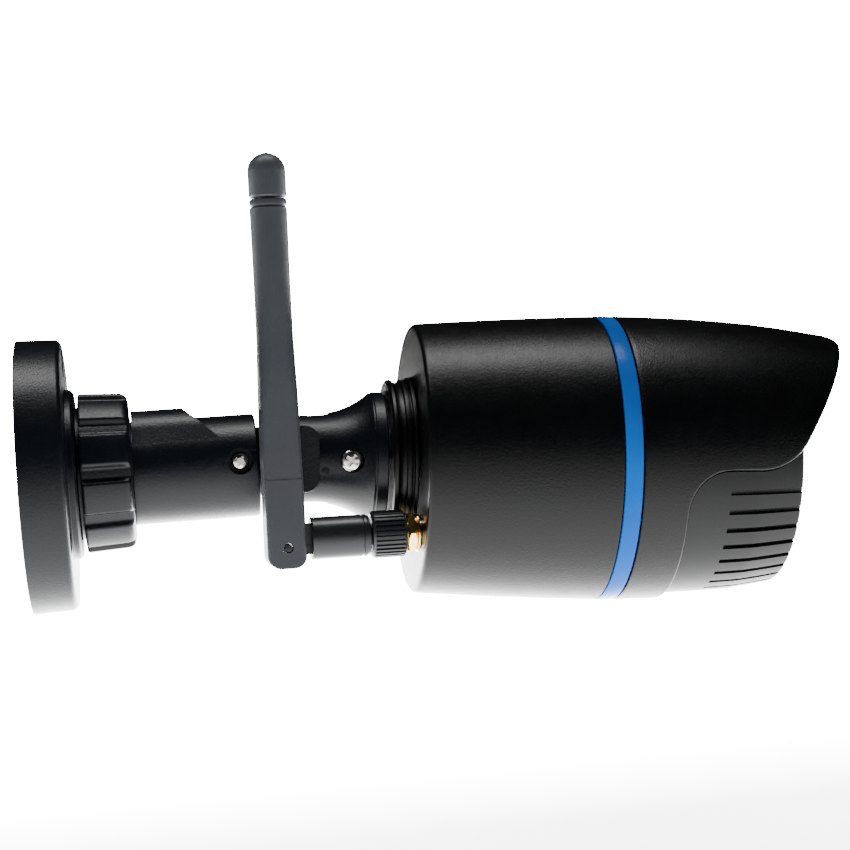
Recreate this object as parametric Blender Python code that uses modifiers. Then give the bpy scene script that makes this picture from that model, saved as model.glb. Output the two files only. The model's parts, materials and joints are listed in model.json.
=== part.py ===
"""Bullet security camera on a two-piece wall bracket, with a hinged Wi-Fi antenna.

Lengths are named in millimetres and become metres where a mesh is made. The row frame has its
origin at the centre of the wall plate's back face, +X forward along the lower arm and +Z up.
Everything in front of the elbow is laid out in a body frame, which starts at the elbow's axis
and leans nose down by BODY_PITCH. The antenna has a frame of its own on its jack's axis.
"""
import math

import bmesh
import bpy
from mathutils import Euler, Matrix, Vector

MM = 0.001
GAP = 0.3
WELD = 0.00001
ROUND = 28
MEDIUM = 16
SMALL = 10
TINY = 8
HOOD_SIDES = 40

# Wall plate and lock ring, along the row's X
PLATE_R = 29.7
PLATE_FRONT = 9.6
PLATE_RECESS_R = 21.0
PLATE_RECESS_DEPTH = 6.0
COLLAR_R = 18.4
COLLAR_FRONT = 11.5
STUB_R = 14.4
STUB_FRONT = 16.0
STUB_BORE_R = 12.3
PASSAGE_R = 9.0
SCREW_CIRCLE_R = 24.9
SCREW_HOLE_R = 2.2
COUNTERSINK_R = 3.6
RING_BACK = 12.3
RING_FRONT = 23.1
RING_R_BACK = 16.3
RING_R_FRONT = 15.7
RIB_R_BACK = 17.35
RIB_R_FRONT = 16.85
RING_BORE_R = 14.8
RING_LIP_R = 11.9
RING_LIP_BACK = 20.1
RING_RIBS = 10
RIB_SHARE = 0.72

# Lower arm, along the row's X
ELBOW_X = 58.15
ARM_R = 11.3
ARM_BORE_R = 8.6
ARM_BACK = 12.0
ARM_BORE_END = 43.0
FLANGE_R = 13.9
FLANGE_BACK = 16.3
FLANGE_FRONT = 18.7
SLEEVE_BACK = 23.4
SLEEVE_DROP = 0.78
ARM_END = ELBOW_X - 8.0
PAD_TOP = 13.6
PAD_FLAT_END = 34.5
PAD_END = 37.7
PAD_HALF_WIDTH = 7.0
PAD_BACK = 24.0
TONGUE_HALF = 2.2
TONGUE_R = 7.5
TONGUE_HOLE_R = 3.7

# The two cross-recessed screws that hold the arms' halves; heights are towards the near side
SCREW_R = 1.2
SCREW_BORE_R = 1.5
SCREW_END = -6.7
SCREW_BORE_END = -7.0
SCREW_HEAD_HEIGHT = 1.7
LOWER_SCREW_X = 46.1
LOWER_SCREW_Z = 0.4
LOWER_HEAD_R = 1.9
LOWER_HEAD_TOP = 10.3
LOWER_RECESS_R = 2.8
LOWER_RECESS_FLOOR = 8.3
UPPER_SCREW_X = 12.1
UPPER_SCREW_Z = -0.35
UPPER_HEAD_R = 2.35
UPPER_HEAD_TOP = 11.4
UPPER_RECESS_R = 2.65
UPPER_RECESS_FLOOR = 9.4

# Upper arm and neck, along the body's X from the elbow
BODY_PITCH = math.radians(4.0)
UPPER_R = 9.85
SLOT_HALF = 2.5
SLOT_END = 7.9
UPPER_END_R = 7.7
UPPER_END_CORNER = 1.4
FLARE_START = 4.5
FLARE_RADIUS = 18.4
UPPER_FLANGE_BACK = 16.95
UPPER_FLANGE_FRONT = 19.85
NECK_HOLE_R = 5.3
NECK_BOLT_R = 5.0
NECK_BOLT_BORE_R = 3.4
CAP_LENGTH = 9.9
CAP_HEIGHT = 14.2
CAP_CORNER_R = 2.8
CAP_CLEARANCE = 0.8
CAP_FACE = 12.0
CAP_BACK = 6.9
CAP_SEAT = 6.6
BOLT_R = 2.45
BOLT_HOLE_R = 2.8
BOLT_NUT_HOLE_R = 2.75
BOLT_NUT_FLATS = 8.0
BOLT_NUT_SEAT = 6.4

# Camera body, along the body's X
REAR_FACE = 26.25
WALL = 2.2
REAR_WALL = 2.5
RING_GAP_BACK = 67.45
TRIM_BACK = 67.75
TRIM_FRONT = 71.55
FRONT_BACK = 71.85
TRIM_R = 32.0
HOOD_TIP = 125.65
SEAM_X = 82.05
SEAM_Z = -2.3
SEAM_LOW_RADIUS = 9.2
SEAM_HIGH_RADIUS = 12.6
HOOD_CORNER_X = 104.6
HOOD_RAKE = math.radians(32.0)
CHIN_FRONT = 108.05
CHIN_STEP = 1.1
CHIN_BORE_R = 26.2
CHIN_RING_R = 27.2
CHIN_RING_BACK = 88.0
CHIN_DRAW_START = 98.0
CHIN_DRAW = 0.06
GROOVE_START = 91.35
GROOVE_PITCH = math.radians(8.5)
GROOVES_EACH_SIDE = 9
GROOVE_WIDTH = 1.2
GROOVE_DEPTH = 0.8
WINDOW_R = 24.6
WINDOW_FRONT = 106.0
LED_CIRCLE_R = 17.5
LED_PLACES = 10

# Antenna, on the jack's axis (x backward is negative) and up the paddle from its pin
JACK_Y = -16.5
JACK_Z = -15.5
JACK_LEAN = math.radians(3.0)
JACK_DROP = math.radians(2.9)
NUT_R = 5.05
KNURLS = 30
ELBOW_R = 4.53
PIN_X = -29.1
PIN_Z = -1.5
PIN_R = 0.85
PADDLE_BOTTOM = -4.35
PADDLE_TOP = 73.7
PADDLE_TIP = 83.6
PADDLE_CENTRE = -0.25
PADDLE_BORE_R = 2.8

FINISHES = {
    "black_shell": ((0.018, 0.019, 0.021), 0.45, 0.0),
    "black_bracket": ((0.022, 0.024, 0.029), 0.45, 0.0),
    "chin_plastic": ((0.035, 0.036, 0.038), 0.5, 0.0),
    "antenna_plastic": ((0.045, 0.047, 0.050), 0.6, 0.0),
    "blue_trim": ((0.02, 0.12, 0.62), 0.15, 0.0),
    "window": ((0.02, 0.02, 0.022), 0.05, 0.0),
    "rubber": ((0.02, 0.02, 0.02), 0.8, 0.0),
    "steel": ((0.70, 0.68, 0.65), 0.25, 1.0),
    "gold": ((0.90, 0.62, 0.22), 0.2, 1.0),
    "led_lens": ((0.10, 0.09, 0.12), 0.1, 0.0),
    "lens_glass": ((0.03, 0.03, 0.06), 0.03, 0.0),
    "board": ((0.02, 0.18, 0.07), 0.5, 0.0),
    "chip": ((0.03, 0.03, 0.03), 0.5, 0.0),
    "pigtail": ((0.10, 0.10, 0.11), 0.5, 0.0),
}


def clear_scene():
    """Remove every object of the opened file."""
    for obj in list(bpy.data.objects):
        bpy.data.objects.remove(obj, do_unlink=True)


clear_scene()
PARTS = bpy.data.collections.new("security_camera")
CUTTERS = bpy.data.collections.new("cutters")
for group in (PARTS, CUTTERS):
    bpy.context.scene.collection.children.link(group)


def finish_material(slot):
    """The slot's Principled material, made once."""
    if slot in bpy.data.materials:
        return bpy.data.materials[slot]
    colour, roughness, metallic = FINISHES[slot]
    mat = bpy.data.materials.new(slot)
    mat.use_nodes = True
    shader = mat.node_tree.nodes["Principled BSDF"]
    shader.inputs["Base Color"].default_value = (*colour, 1.0)
    shader.inputs["Roughness"].default_value = roughness
    shader.inputs["Metallic"].default_value = metallic
    return mat


def frame_empty(name, parent, at, turn):
    """An empty that carries a frame: its place in mm in its parent, and its rotation matrix."""
    empty = bpy.data.objects.new(name, None)
    PARTS.objects.link(empty)
    empty.parent = parent
    empty.matrix_local = Matrix.Translation(Vector(at) * MM) @ turn.to_4x4()
    return empty


# The way a piece's own Z axis points in its frame
ALONG_X = Euler((0.0, math.radians(90.0), 0.0))
ALONG_MINUS_Y = Euler((math.radians(90.0), 0.0, 0.0))
ALONG_Z = Euler((0.0, 0.0, 0.0))

jack_forward = Vector((1.0, math.tan(JACK_LEAN), math.tan(JACK_DROP))).normalized()
jack_side = Vector((0.0, 0.0, 1.0)).cross(jack_forward).normalized()
jack_up = jack_forward.cross(jack_side)
jack_turn = Matrix((jack_forward, jack_side, jack_up)).transposed()

ROW = frame_empty("row_frame", None, (0.0, 0.0, 0.0), Matrix.Identity(3))
BODY = frame_empty("body_frame", ROW, (ELBOW_X, 0.0, 0.0), Matrix.Rotation(BODY_PITCH, 3, "Y"))
JACK = frame_empty("jack_frame", BODY, (REAR_FACE, JACK_Y, JACK_Z), jack_turn)
PIN = frame_empty("pin_frame", JACK, (PIN_X, 0.0, PIN_Z), Matrix.Identity(3))


def add_object(name, mesh, slot, frame, at, turn):
    """Put a mesh in the scene as a part, or as a cutter when it has no material slot."""
    obj = bpy.data.objects.new(name, mesh)
    if slot is None:
        CUTTERS.objects.link(obj)
        obj.hide_render = True
        obj.display_type = "WIRE"
    else:
        PARTS.objects.link(obj)
        mesh.materials.append(finish_material(slot))
    obj.parent = frame
    obj.location = Vector(at) * MM
    obj.rotation_euler = turn
    return obj


def turned(name, profile, slot, frame, segments=ROUND, at=(0.0, 0.0, 0.0), turn=ALONG_X):
    """Turn (radius, height) points about the piece's Z axis, from the top down the outer side.

    A profile that starts and ends on the axis is a solid; any other is closed into a ring.
    """
    closed = profile[0][0] > 0.0
    bm = bmesh.new()
    verts = [bm.verts.new((r * MM, 0.0, z * MM)) for r, z in profile]
    for low, high in zip(verts, verts[1:]):
        bm.edges.new((low, high))
    if closed:
        bm.edges.new((verts[-1], verts[0]))
    mesh = bpy.data.meshes.new(name)
    bm.to_mesh(mesh)
    bm.free()
    obj = add_object(name, mesh, slot, frame, at, turn)
    screw = obj.modifiers.new("turn", "SCREW")
    screw.axis = "Z"
    screw.steps = segments
    screw.render_steps = segments
    screw.use_merge_vertices = True
    screw.merge_threshold = WELD
    screw.use_smooth_shade = True
    return obj


def rod(name, radius, low, high, slot, frame, **options):
    """A plain round rod between two heights on its axis."""
    profile = [(0.0, high), (radius, high), (radius, low), (0.0, low)]
    return turned(name, profile, slot, frame, **options)


def tube(name, outer, inner, low, high, slot, frame, **options):
    """A plain round tube between two heights on its axis."""
    profile = [(outer, high), (outer, low), (inner, low), (inner, high)]
    return turned(name, profile, slot, frame, **options)


def box(name, low, high, slot, frame, bevel=0.0):
    """A box between two corners, in mm in its frame."""
    low = Vector(low)
    high = Vector(high)
    bm = bmesh.new()
    bmesh.ops.create_cube(bm, size=1.0)
    bmesh.ops.scale(bm, vec=(high - low) * MM, verts=bm.verts)
    mesh = bpy.data.meshes.new(name)
    bm.to_mesh(mesh)
    bm.free()
    obj = add_object(name, mesh, slot, frame, (low + high) / 2.0, ALONG_Z)
    if bevel:
        edges = obj.modifiers.new("edges", "BEVEL")
        edges.width = bevel * MM
        edges.segments = 2
    return obj


def prism(name, outline, low, high, slot, frame, at=(0.0, 0.0, 0.0), turn=ALONG_X):
    """Extrude a flat outline of (x, y) points between two heights on the piece's Z axis."""
    curve = bpy.data.curves.new(name, "CURVE")
    curve.dimensions = "2D"
    curve.fill_mode = "BOTH"
    curve.extrude = (high - low) / 2.0 * MM
    spline = curve.splines.new("POLY")
    spline.points.add(len(outline) - 1)
    for point, (x, y) in zip(spline.points, outline):
        point.co = (x * MM, y * MM, 0.0, 1.0)
    spline.use_cyclic_u = True
    source = bpy.data.objects.new(name + "_outline", curve)
    bpy.context.scene.collection.objects.link(source)
    bpy.context.view_layer.update()
    graph = bpy.context.evaluated_depsgraph_get()
    mesh = bpy.data.meshes.new_from_object(source.evaluated_get(graph))
    bpy.data.objects.remove(source, do_unlink=True)
    bm = bmesh.new()
    bm.from_mesh(mesh)
    bmesh.ops.remove_doubles(bm, verts=bm.verts, dist=WELD)
    bmesh.ops.translate(bm, vec=(0.0, 0.0, (low + high) / 2.0 * MM), verts=bm.verts)
    bmesh.ops.recalc_face_normals(bm, faces=bm.faces)
    bm.to_mesh(mesh)
    bm.free()
    mesh.name = name
    return add_object(name, mesh, slot, frame, at, turn)


def cut(obj, cutter, operation="DIFFERENCE"):
    """Cut a piece with a cutter, or join or keep what they share."""
    modifier = obj.modifiers.new(cutter.name, "BOOLEAN")
    modifier.operation = operation
    modifier.object = cutter
    modifier.solver = "EXACT"


def arc(cx, cy, radius, start, end, steps):
    """Points on an arc, both ends included; angles in degrees."""
    points = []
    for i in range(steps + 1):
        angle = math.radians(start + (end - start) * i / steps)
        points.append((cx + radius * math.cos(angle), cy + radius * math.sin(angle)))
    return points


def rounded_rectangle(width, height, radius, steps=3, centre=(0.0, 0.0)):
    """A rectangle's outline with round corners, anticlockwise."""
    x = width / 2.0 - radius
    y = height / 2.0 - radius
    points = []
    for sx, sy, start in ((1, 1, 0), (-1, 1, 90), (-1, -1, 180), (1, -1, 270)):
        points += arc(centre[0] + sx * x, centre[1] + sy * y, radius, start, start + 90, steps)
    return points


def hexagon(across_flats):
    """A hexagon's outline, with a flat side towards +X."""
    corner = across_flats / math.sqrt(3.0)
    return arc(0.0, 0.0, corner, 30, 330, 5)


def shell_radius(x):
    """The body's outer radius, a slow barrel from the rear rim to the hood's tip."""
    stations = ((26.25, 29.9), (37.5, 30.6), (46.7, 31.1), (58.2, 31.6), (71.0, 32.0),
                (81.5, 31.8), (93.2, 31.3), (102.7, 30.55), (112.3, 29.4), (124.3, 27.5),
                (130.0, 26.4))
    for (x0, r0), (x1, r1) in zip(stations, stations[1:]):
        if x <= x1:
            return r0 + (r1 - r0) * (x - x0) / (x1 - x0)
    return stations[-1][1]


# ---------------------------------------------------------------- wall plate and lock ring
def make_wall_plate():
    profile = [(STUB_BORE_R, STUB_FRONT), (STUB_R - 0.4, STUB_FRONT), (STUB_R, STUB_FRONT - 0.4),
               (STUB_R, COLLAR_FRONT), (COLLAR_R, COLLAR_FRONT), (COLLAR_R, PLATE_FRONT),
               (PLATE_R - 1.4, PLATE_FRONT), (PLATE_R - 0.6, PLATE_FRONT - 0.3),
               (PLATE_R - 0.3, PLATE_FRONT - 1.0), (PLATE_R, 0.0), (PLATE_RECESS_R, 0.0),
               (PLATE_RECESS_R, PLATE_RECESS_DEPTH), (PASSAGE_R, PLATE_RECESS_DEPTH),
               (PASSAGE_R, COLLAR_FRONT), (STUB_BORE_R, COLLAR_FRONT)]
    plate = turned("wall_plate", profile, "black_bracket", ROW)
    hole = [(0.0, 20.0), (COUNTERSINK_R, 20.0), (COUNTERSINK_R, PLATE_FRONT - 1.2),
            (SCREW_HOLE_R, PLATE_FRONT - 2.8), (SCREW_HOLE_R, -1.0), (0.0, -1.0)]
    for index, degrees in enumerate((90.0, 210.0, 330.0)):
        angle = math.radians(degrees)
        at = (0.0, SCREW_CIRCLE_R * math.cos(angle), SCREW_CIRCLE_R * math.sin(angle))
        cut(plate, turned(f"wall_hole_{index + 1}", hole, None, ROW, segments=SMALL, at=at))


def make_lock_ring():
    profile = [(RING_LIP_R, RING_FRONT), (RING_R_FRONT - 0.8, RING_FRONT),
               (RING_R_FRONT, RING_FRONT - 0.8), (RING_R_BACK, RING_BACK),
               (RING_BORE_R, RING_BACK), (RING_BORE_R, RING_LIP_BACK), (RING_LIP_R, RING_LIP_BACK)]
    ring = turned("lock_ring", profile, "black_bracket", ROW, segments=40)
    half = math.pi / RING_RIBS * RIB_SHARE
    for index in range(RING_RIBS):
        middle = 2.0 * math.pi * (index + 0.5) / RING_RIBS
        rib = make_rib(f"rib_{index + 1}", middle, half)
        cut(ring, rib, "UNION")


def make_rib(name, middle, half):
    """A broad rib on the lock ring: a wedge of the ring's wall that stands proud of it."""
    bm = bmesh.new()
    steps = 3
    stations = ((RING_BACK, RIB_R_BACK), (RING_FRONT - 1.6, RIB_R_FRONT),
                (RING_FRONT - 0.4, RIB_R_FRONT - 1.0))
    rows = []
    for x, outer in stations:
        row = []
        for i in range(steps + 1):
            angle = middle - half + 2.0 * half * i / steps
            row.append(bm.verts.new((x * MM, outer * MM * math.cos(angle), outer * MM * math.sin(angle))))
        for i in range(steps, -1, -1):
            angle = middle - half + 2.0 * half * i / steps
            inner = (RING_BORE_R + 0.1) * MM
            row.append(bm.verts.new((x * MM, inner * math.cos(angle), inner * math.sin(angle))))
        rows.append(row)
    for low, high in zip(rows, rows[1:]):
        count = len(low)
        for i in range(count):
            j = (i + 1) % count
            bm.faces.new((low[i], low[j], high[j], high[i]))
    bm.faces.new(rows[0])
    bm.faces.new(rows[-1])
    bmesh.ops.recalc_face_normals(bm, faces=bm.faces)
    mesh = bpy.data.meshes.new(name)
    bm.to_mesh(mesh)
    bm.free()
    return add_object(name, mesh, None, ROW, (0.0, 0.0, 0.0), ALONG_Z)


# ---------------------------------------------------------------- the two arms
def half_space(name, near, frame):
    """A cutter that leaves the near (-Y) or far (+Y) half of an arm."""
    if near:
        return box(name, (-40.0, -GAP / 2.0, -40.0), (90.0, 40.0, 40.0), None, frame)
    return box(name, (-40.0, -40.0, -40.0), (90.0, GAP / 2.0, 40.0), None, frame)


def screw_bore(name, frame, at, recess_r, recess_floor):
    """A cutter for an arm's screw: the head's recess and the bore behind it."""
    profile = [(0.0, 20.0), (recess_r, 20.0), (recess_r, recess_floor), (SCREW_BORE_R, recess_floor),
               (SCREW_BORE_R, SCREW_BORE_END), (0.0, SCREW_BORE_END)]
    return turned(name, profile, None, frame, segments=SMALL, at=at, turn=ALONG_MINUS_Y)


def arm_screw(name, frame, at, head_r, head_top):
    """One of the arms' steel screws, its head towards the near side."""
    under = head_top - SCREW_HEAD_HEIGHT
    profile = [(0.0, head_top), (0.5 * head_r, head_top - 0.1), (head_r, head_top - 0.6),
               (head_r, under), (SCREW_R, under), (SCREW_R, SCREW_END + 0.7), (0.0, SCREW_END)]
    turned(name, profile, "steel", frame, segments=SMALL, at=at, turn=ALONG_MINUS_Y)


def make_lower_arm():
    root = [(0.0, SLEEVE_BACK), (ARM_R, SLEEVE_BACK), (ARM_R, FLANGE_FRONT),
            (FLANGE_R, FLANGE_FRONT), (FLANGE_R, FLANGE_BACK), (ARM_R, FLANGE_BACK),
            (ARM_R, ARM_BACK), (0.0, ARM_BACK)]
    edge = 0.5
    sleeve_profile = [(0.0, ARM_END), (ARM_R - edge, ARM_END), (ARM_R, ARM_END - edge),
                      (ARM_R, SLEEVE_BACK - GAP), (0.0, SLEEVE_BACK - GAP)]
    sleeve = turned("arm_sleeve", sleeve_profile, None, ROW, at=(0.0, 0.0, -SLEEVE_DROP))
    pad_side = [(PAD_BACK, 8.0), (PAD_FLAT_END + 4.0, 8.0), (PAD_END, ARM_R - 0.6),
                (PAD_FLAT_END, PAD_TOP), (PAD_BACK, PAD_TOP)]
    pad = prism("arm_pad", pad_side, -PAD_HALF_WIDTH, PAD_HALF_WIDTH, None, ROW,
                at=(0.0, 0.0, -SLEEVE_DROP), turn=ALONG_MINUS_Y)
    pad_round = rod("arm_pad_round", PAD_TOP, 20.0, PAD_FLAT_END + 6.0, None, ROW, segments=MEDIUM,
                    at=(0.0, 0.0, -SLEEVE_DROP))
    cut(pad, pad_round, "INTERSECT")
    tongue_side = arc(ELBOW_X, 0.0, TONGUE_R, -90, 90, 14)
    tongue_side += [(ARM_END - 2.0, TONGUE_R), (ARM_END - 2.0, -TONGUE_R)]
    tongue = prism("elbow_tongue", tongue_side, -TONGUE_HALF, TONGUE_HALF, None, ROW,
                   turn=ALONG_MINUS_Y)
    bore = rod("arm_bore", ARM_BORE_R, 0.0, ARM_BORE_END, None, ROW)
    bolt_hole = rod("tongue_hole", TONGUE_HOLE_R, -20.0, 20.0, None, ROW, segments=SMALL,
                    at=(ELBOW_X, 0.0, 0.0), turn=ALONG_MINUS_Y)
    screw_at = (LOWER_SCREW_X, 0.0, LOWER_SCREW_Z)
    screw_hole = screw_bore("lower_screw_hole", ROW, screw_at, LOWER_RECESS_R, LOWER_RECESS_FLOOR)
    for name, near in (("lower_arm_near", True), ("lower_arm_far", False)):
        arm = turned(name, root, "black_bracket", ROW)
        cut(arm, sleeve, "UNION")
        cut(arm, pad, "UNION")
        cut(arm, bore)
        cut(arm, tongue, "UNION")
        cut(arm, bolt_hole)
        cut(arm, screw_hole)
        cut(arm, half_space(name + "_side", near, ROW))
    arm_screw("lower_arm_screw", ROW, screw_at, LOWER_HEAD_R, LOWER_HEAD_TOP)
    tube("pan_washer", 14.4, 11.7, 19.0, 19.8, "steel", ROW, segments=MEDIUM)


def make_upper_arm():
    flare = []
    steps = 6
    for i in range(steps + 1):
        x = UPPER_FLANGE_BACK + (FLARE_START - UPPER_FLANGE_BACK) * i / steps
        rise = FLARE_RADIUS - math.sqrt(FLARE_RADIUS ** 2 - (x - FLARE_START) ** 2)
        flare.append((UPPER_R + rise, x))
    profile = [(0.0, 14.2), (6.6, 14.2), (6.6, 16.5), (NECK_HOLE_R, 16.5),
               (NECK_HOLE_R, UPPER_FLANGE_FRONT), (14.3, UPPER_FLANGE_FRONT),
               (14.7, UPPER_FLANGE_FRONT - 0.4)]
    profile += flare
    profile += [(UPPER_R, -9.0), (0.0, -9.0)]
    slot = box("elbow_slot", (-15.0, -SLOT_HALF, -20.0), (SLOT_END, SLOT_HALF, 20.0), None, BODY)
    end_side = arc(0.0, 0.0, UPPER_END_R, 121, 239, 12)
    end_side += [(UPPER_END_CORNER, -UPPER_R), (UPPER_END_CORNER, -18.0), (25.0, -18.0), (25.0, 18.0),
                 (UPPER_END_CORNER, 18.0), (UPPER_END_CORNER, UPPER_R)]
    end_round = prism("elbow_end", end_side, -20.0, 20.0, None, BODY, turn=ALONG_MINUS_Y)
    pivot = rod("pivot_hole", BOLT_HOLE_R, -20.0, 20.0, None, BODY, segments=SMALL, turn=ALONG_MINUS_Y)
    seat_side = rounded_rectangle(CAP_LENGTH + CAP_CLEARANCE, CAP_HEIGHT + CAP_CLEARANCE,
                                  CAP_CORNER_R + CAP_CLEARANCE / 2.0)
    seat = prism("cap_seat", seat_side, CAP_SEAT, 20.0, None, BODY, turn=ALONG_MINUS_Y)
    nut_side = hexagon(BOLT_NUT_FLATS + 2.0 * GAP)
    nut_seat = prism("nut_seat", nut_side, -20.0, -BOLT_NUT_SEAT, None, BODY, turn=ALONG_MINUS_Y)
    screw_at = (UPPER_SCREW_X, 0.0, UPPER_SCREW_Z)
    screw_hole = screw_bore("upper_screw_hole", BODY, screw_at, UPPER_RECESS_R, UPPER_RECESS_FLOOR)
    for name, near in (("upper_arm_near", True), ("upper_arm_far", False)):
        arm = turned(name, profile, "black_bracket", BODY, segments=ROUND)
        cut(arm, end_round, "INTERSECT")
        cut(arm, slot)
        cut(arm, pivot)
        cut(arm, seat if near else nut_seat)
        cut(arm, screw_hole)
        cut(arm, half_space(name + "_side", near, BODY))
    arm_screw("upper_arm_screw", BODY, screw_at, UPPER_HEAD_R, UPPER_HEAD_TOP)


def make_elbow_hardware():
    cap_side = rounded_rectangle(CAP_LENGTH, CAP_HEIGHT, CAP_CORNER_R)
    cap = prism("elbow_cap", cap_side, CAP_BACK, CAP_FACE, "black_bracket", BODY, turn=ALONG_MINUS_Y)
    rim = cap.modifiers.new("rim", "BEVEL")
    rim.width = 1.0 * MM
    rim.segments = 2
    rim.limit_method = "ANGLE"
    rim.angle_limit = math.radians(50.0)
    cut(cap, rod("cap_hollow", 4.4, 0.0, 10.0, None, BODY, segments=SMALL, turn=ALONG_MINUS_Y))
    bolt = [(0.0, 9.4), (3.6, 9.4), (4.0, 9.0), (4.0, CAP_BACK), (BOLT_R, CAP_BACK), (BOLT_R, -10.0),
            (0.0, -10.0)]
    turned("elbow_bolt", bolt, "steel", BODY, segments=SMALL, turn=ALONG_MINUS_Y)
    bush_half = TONGUE_HALF - 0.1
    tube("elbow_bush", TONGUE_HOLE_R - GAP, BOLT_NUT_HOLE_R, -bush_half, bush_half, "steel", BODY,
         segments=SMALL, turn=ALONG_MINUS_Y)
    nut = prism("elbow_nut", hexagon(BOLT_NUT_FLATS), -9.6, -BOLT_NUT_SEAT - GAP, "steel", BODY,
                turn=ALONG_MINUS_Y)
    cut(nut, rod("elbow_nut_hole", BOLT_NUT_HOLE_R, -20.0, 20.0, None, BODY, segments=SMALL,
                 turn=ALONG_MINUS_Y))


def make_neck():
    bolt = [(NECK_BOLT_R, 34.0), (NECK_BOLT_R, 16.2), (6.2, 16.2), (6.2, 14.5),
            (NECK_BOLT_BORE_R, 14.5), (NECK_BOLT_BORE_R, 34.0)]
    turned("neck_bolt", bolt, "steel", BODY, segments=MEDIUM)
    tube("neck_washer", 8.5, NECK_HOLE_R, 29.05, 29.85, "steel", BODY, segments=MEDIUM)
    nut = prism("neck_nut", hexagon(15.0), 30.15, 33.65, "steel", BODY)
    cut(nut, rod("neck_nut_hole", NECK_HOLE_R, 20.0, 40.0, None, BODY, segments=MEDIUM))
    boot = [(5.7, 25.95), (17.9, 25.95), (17.9, 25.15), (16.9, 24.9), (17.5, 24.5), (17.5, 23.7),
            (16.95, 23.3), (16.95, 22.0), (17.5, 21.6), (17.5, 20.9), (17.1, 20.45), (5.7, 20.45)]
    turned("neck_boot", boot, "black_shell", BODY, segments=ROUND)


# ---------------------------------------------------------------- camera housing
def make_rear_housing():
    stations = (58.2, 46.7, 37.5, 30.8)
    outer = [(shell_radius(x), x) for x in stations]
    inner = [(shell_radius(x) - WALL, x) for x in reversed(stations)]
    profile = [(28.2, 70.0), (29.9, 70.0), (29.9, RING_GAP_BACK),
               (shell_radius(RING_GAP_BACK), RING_GAP_BACK)]
    profile += outer
    profile += [(29.85, 28.6), (29.2, 27.2), (27.9, REAR_FACE), (5.7, REAR_FACE),
                (5.7, REAR_FACE + REAR_WALL), (26.6, REAR_FACE + REAR_WALL)]
    profile += inner
    profile += [(28.2, 62.0)]
    housing = turned("rear_housing", profile, "black_shell", BODY)
    cut(housing, rod("jack_hole", 3.6, -6.0, 12.0, None, JACK, segments=SMALL))


def make_trim_and_seal():
    ring = [(TRIM_R - 0.2, TRIM_FRONT), (TRIM_R, TRIM_FRONT - 0.25), (TRIM_R, TRIM_BACK + 0.25),
            (TRIM_R - 0.2, TRIM_BACK), (30.2, TRIM_BACK), (30.2, TRIM_FRONT)]
    turned("trim_ring", ring, "blue_trim", BODY)
    tube("housing_seal", 29.9, 28.5, 70.3, 71.55, "rubber", BODY)


def filleted(corners):
    """Round the inner corners of an open run of (x, y, radius) points with arcs."""
    points = [corners[0][:2]]
    for before, corner, after in zip(corners, corners[1:], corners[2:]):
        middle = Vector(corner[:2])
        back = (Vector(before[:2]) - middle).normalized()
        ahead = (Vector(after[:2]) - middle).normalized()
        half = math.acos(back.dot(ahead)) / 2.0
        radius = corner[2]
        centre = middle + (back + ahead).normalized() * radius / math.sin(half)
        first = middle + back * radius / math.tan(half)
        last = middle + ahead * radius / math.tan(half)
        start = math.atan2(first.y - centre.y, first.x - centre.x)
        sweep = math.atan2(last.y - centre.y, last.x - centre.x) - start
        sweep = (sweep + math.pi) % (2.0 * math.pi) - math.pi
        points += arc(centre.x, centre.y, radius, math.degrees(start), math.degrees(start + sweep), 6)
    points.append(corners[-1][:2])
    return points


def seam_run(shift):
    """The seam in side view: up the chin, over its shoulder and out along the hood's raked edge.

    shift moves the run into the hood (negative) or away from it (positive).
    """
    rise = 45.0
    top_x = HOOD_CORNER_X + shift + (rise - SEAM_Z) * math.tan(HOOD_RAKE)
    corners = [(SEAM_X + shift, -45.0, 0.0),
               (SEAM_X + shift, SEAM_Z - shift, SEAM_LOW_RADIUS - shift),
               (HOOD_CORNER_X + shift, SEAM_Z - shift, SEAM_HIGH_RADIUS + shift),
               (top_x, rise, 0.0)]
    return filleted(corners)


def make_hood():
    stations = (121.9, 112.3, 102.7, 93.2, 81.5, FRONT_BACK)
    outer = [(shell_radius(x), x) for x in stations]
    inner = [(shell_radius(x) - WALL, x) for x in reversed(stations)]
    profile = [(26.1, HOOD_TIP - 0.15), (26.9, HOOD_TIP - 0.35), (27.5, HOOD_TIP - 1.5)]
    profile += outer
    profile += inner
    profile += [(25.5, HOOD_TIP - 1.2)]
    hood = turned("front_hood", profile, "black_shell", BODY, segments=HOOD_SIDES)
    away = seam_run(0.0) + [(160.0, 45.0), (160.0, -45.0)]
    cut(hood, prism("hood_cut", away, -45.0, 45.0, None, BODY, turn=ALONG_MINUS_Y))


def chin_radius(x):
    """The chin's outer radius, a step below the hood's surface and drawn in at its front."""
    draw_in = CHIN_DRAW * max(0.0, x - CHIN_DRAW_START)
    return shell_radius(x) - CHIN_STEP - draw_in


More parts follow.
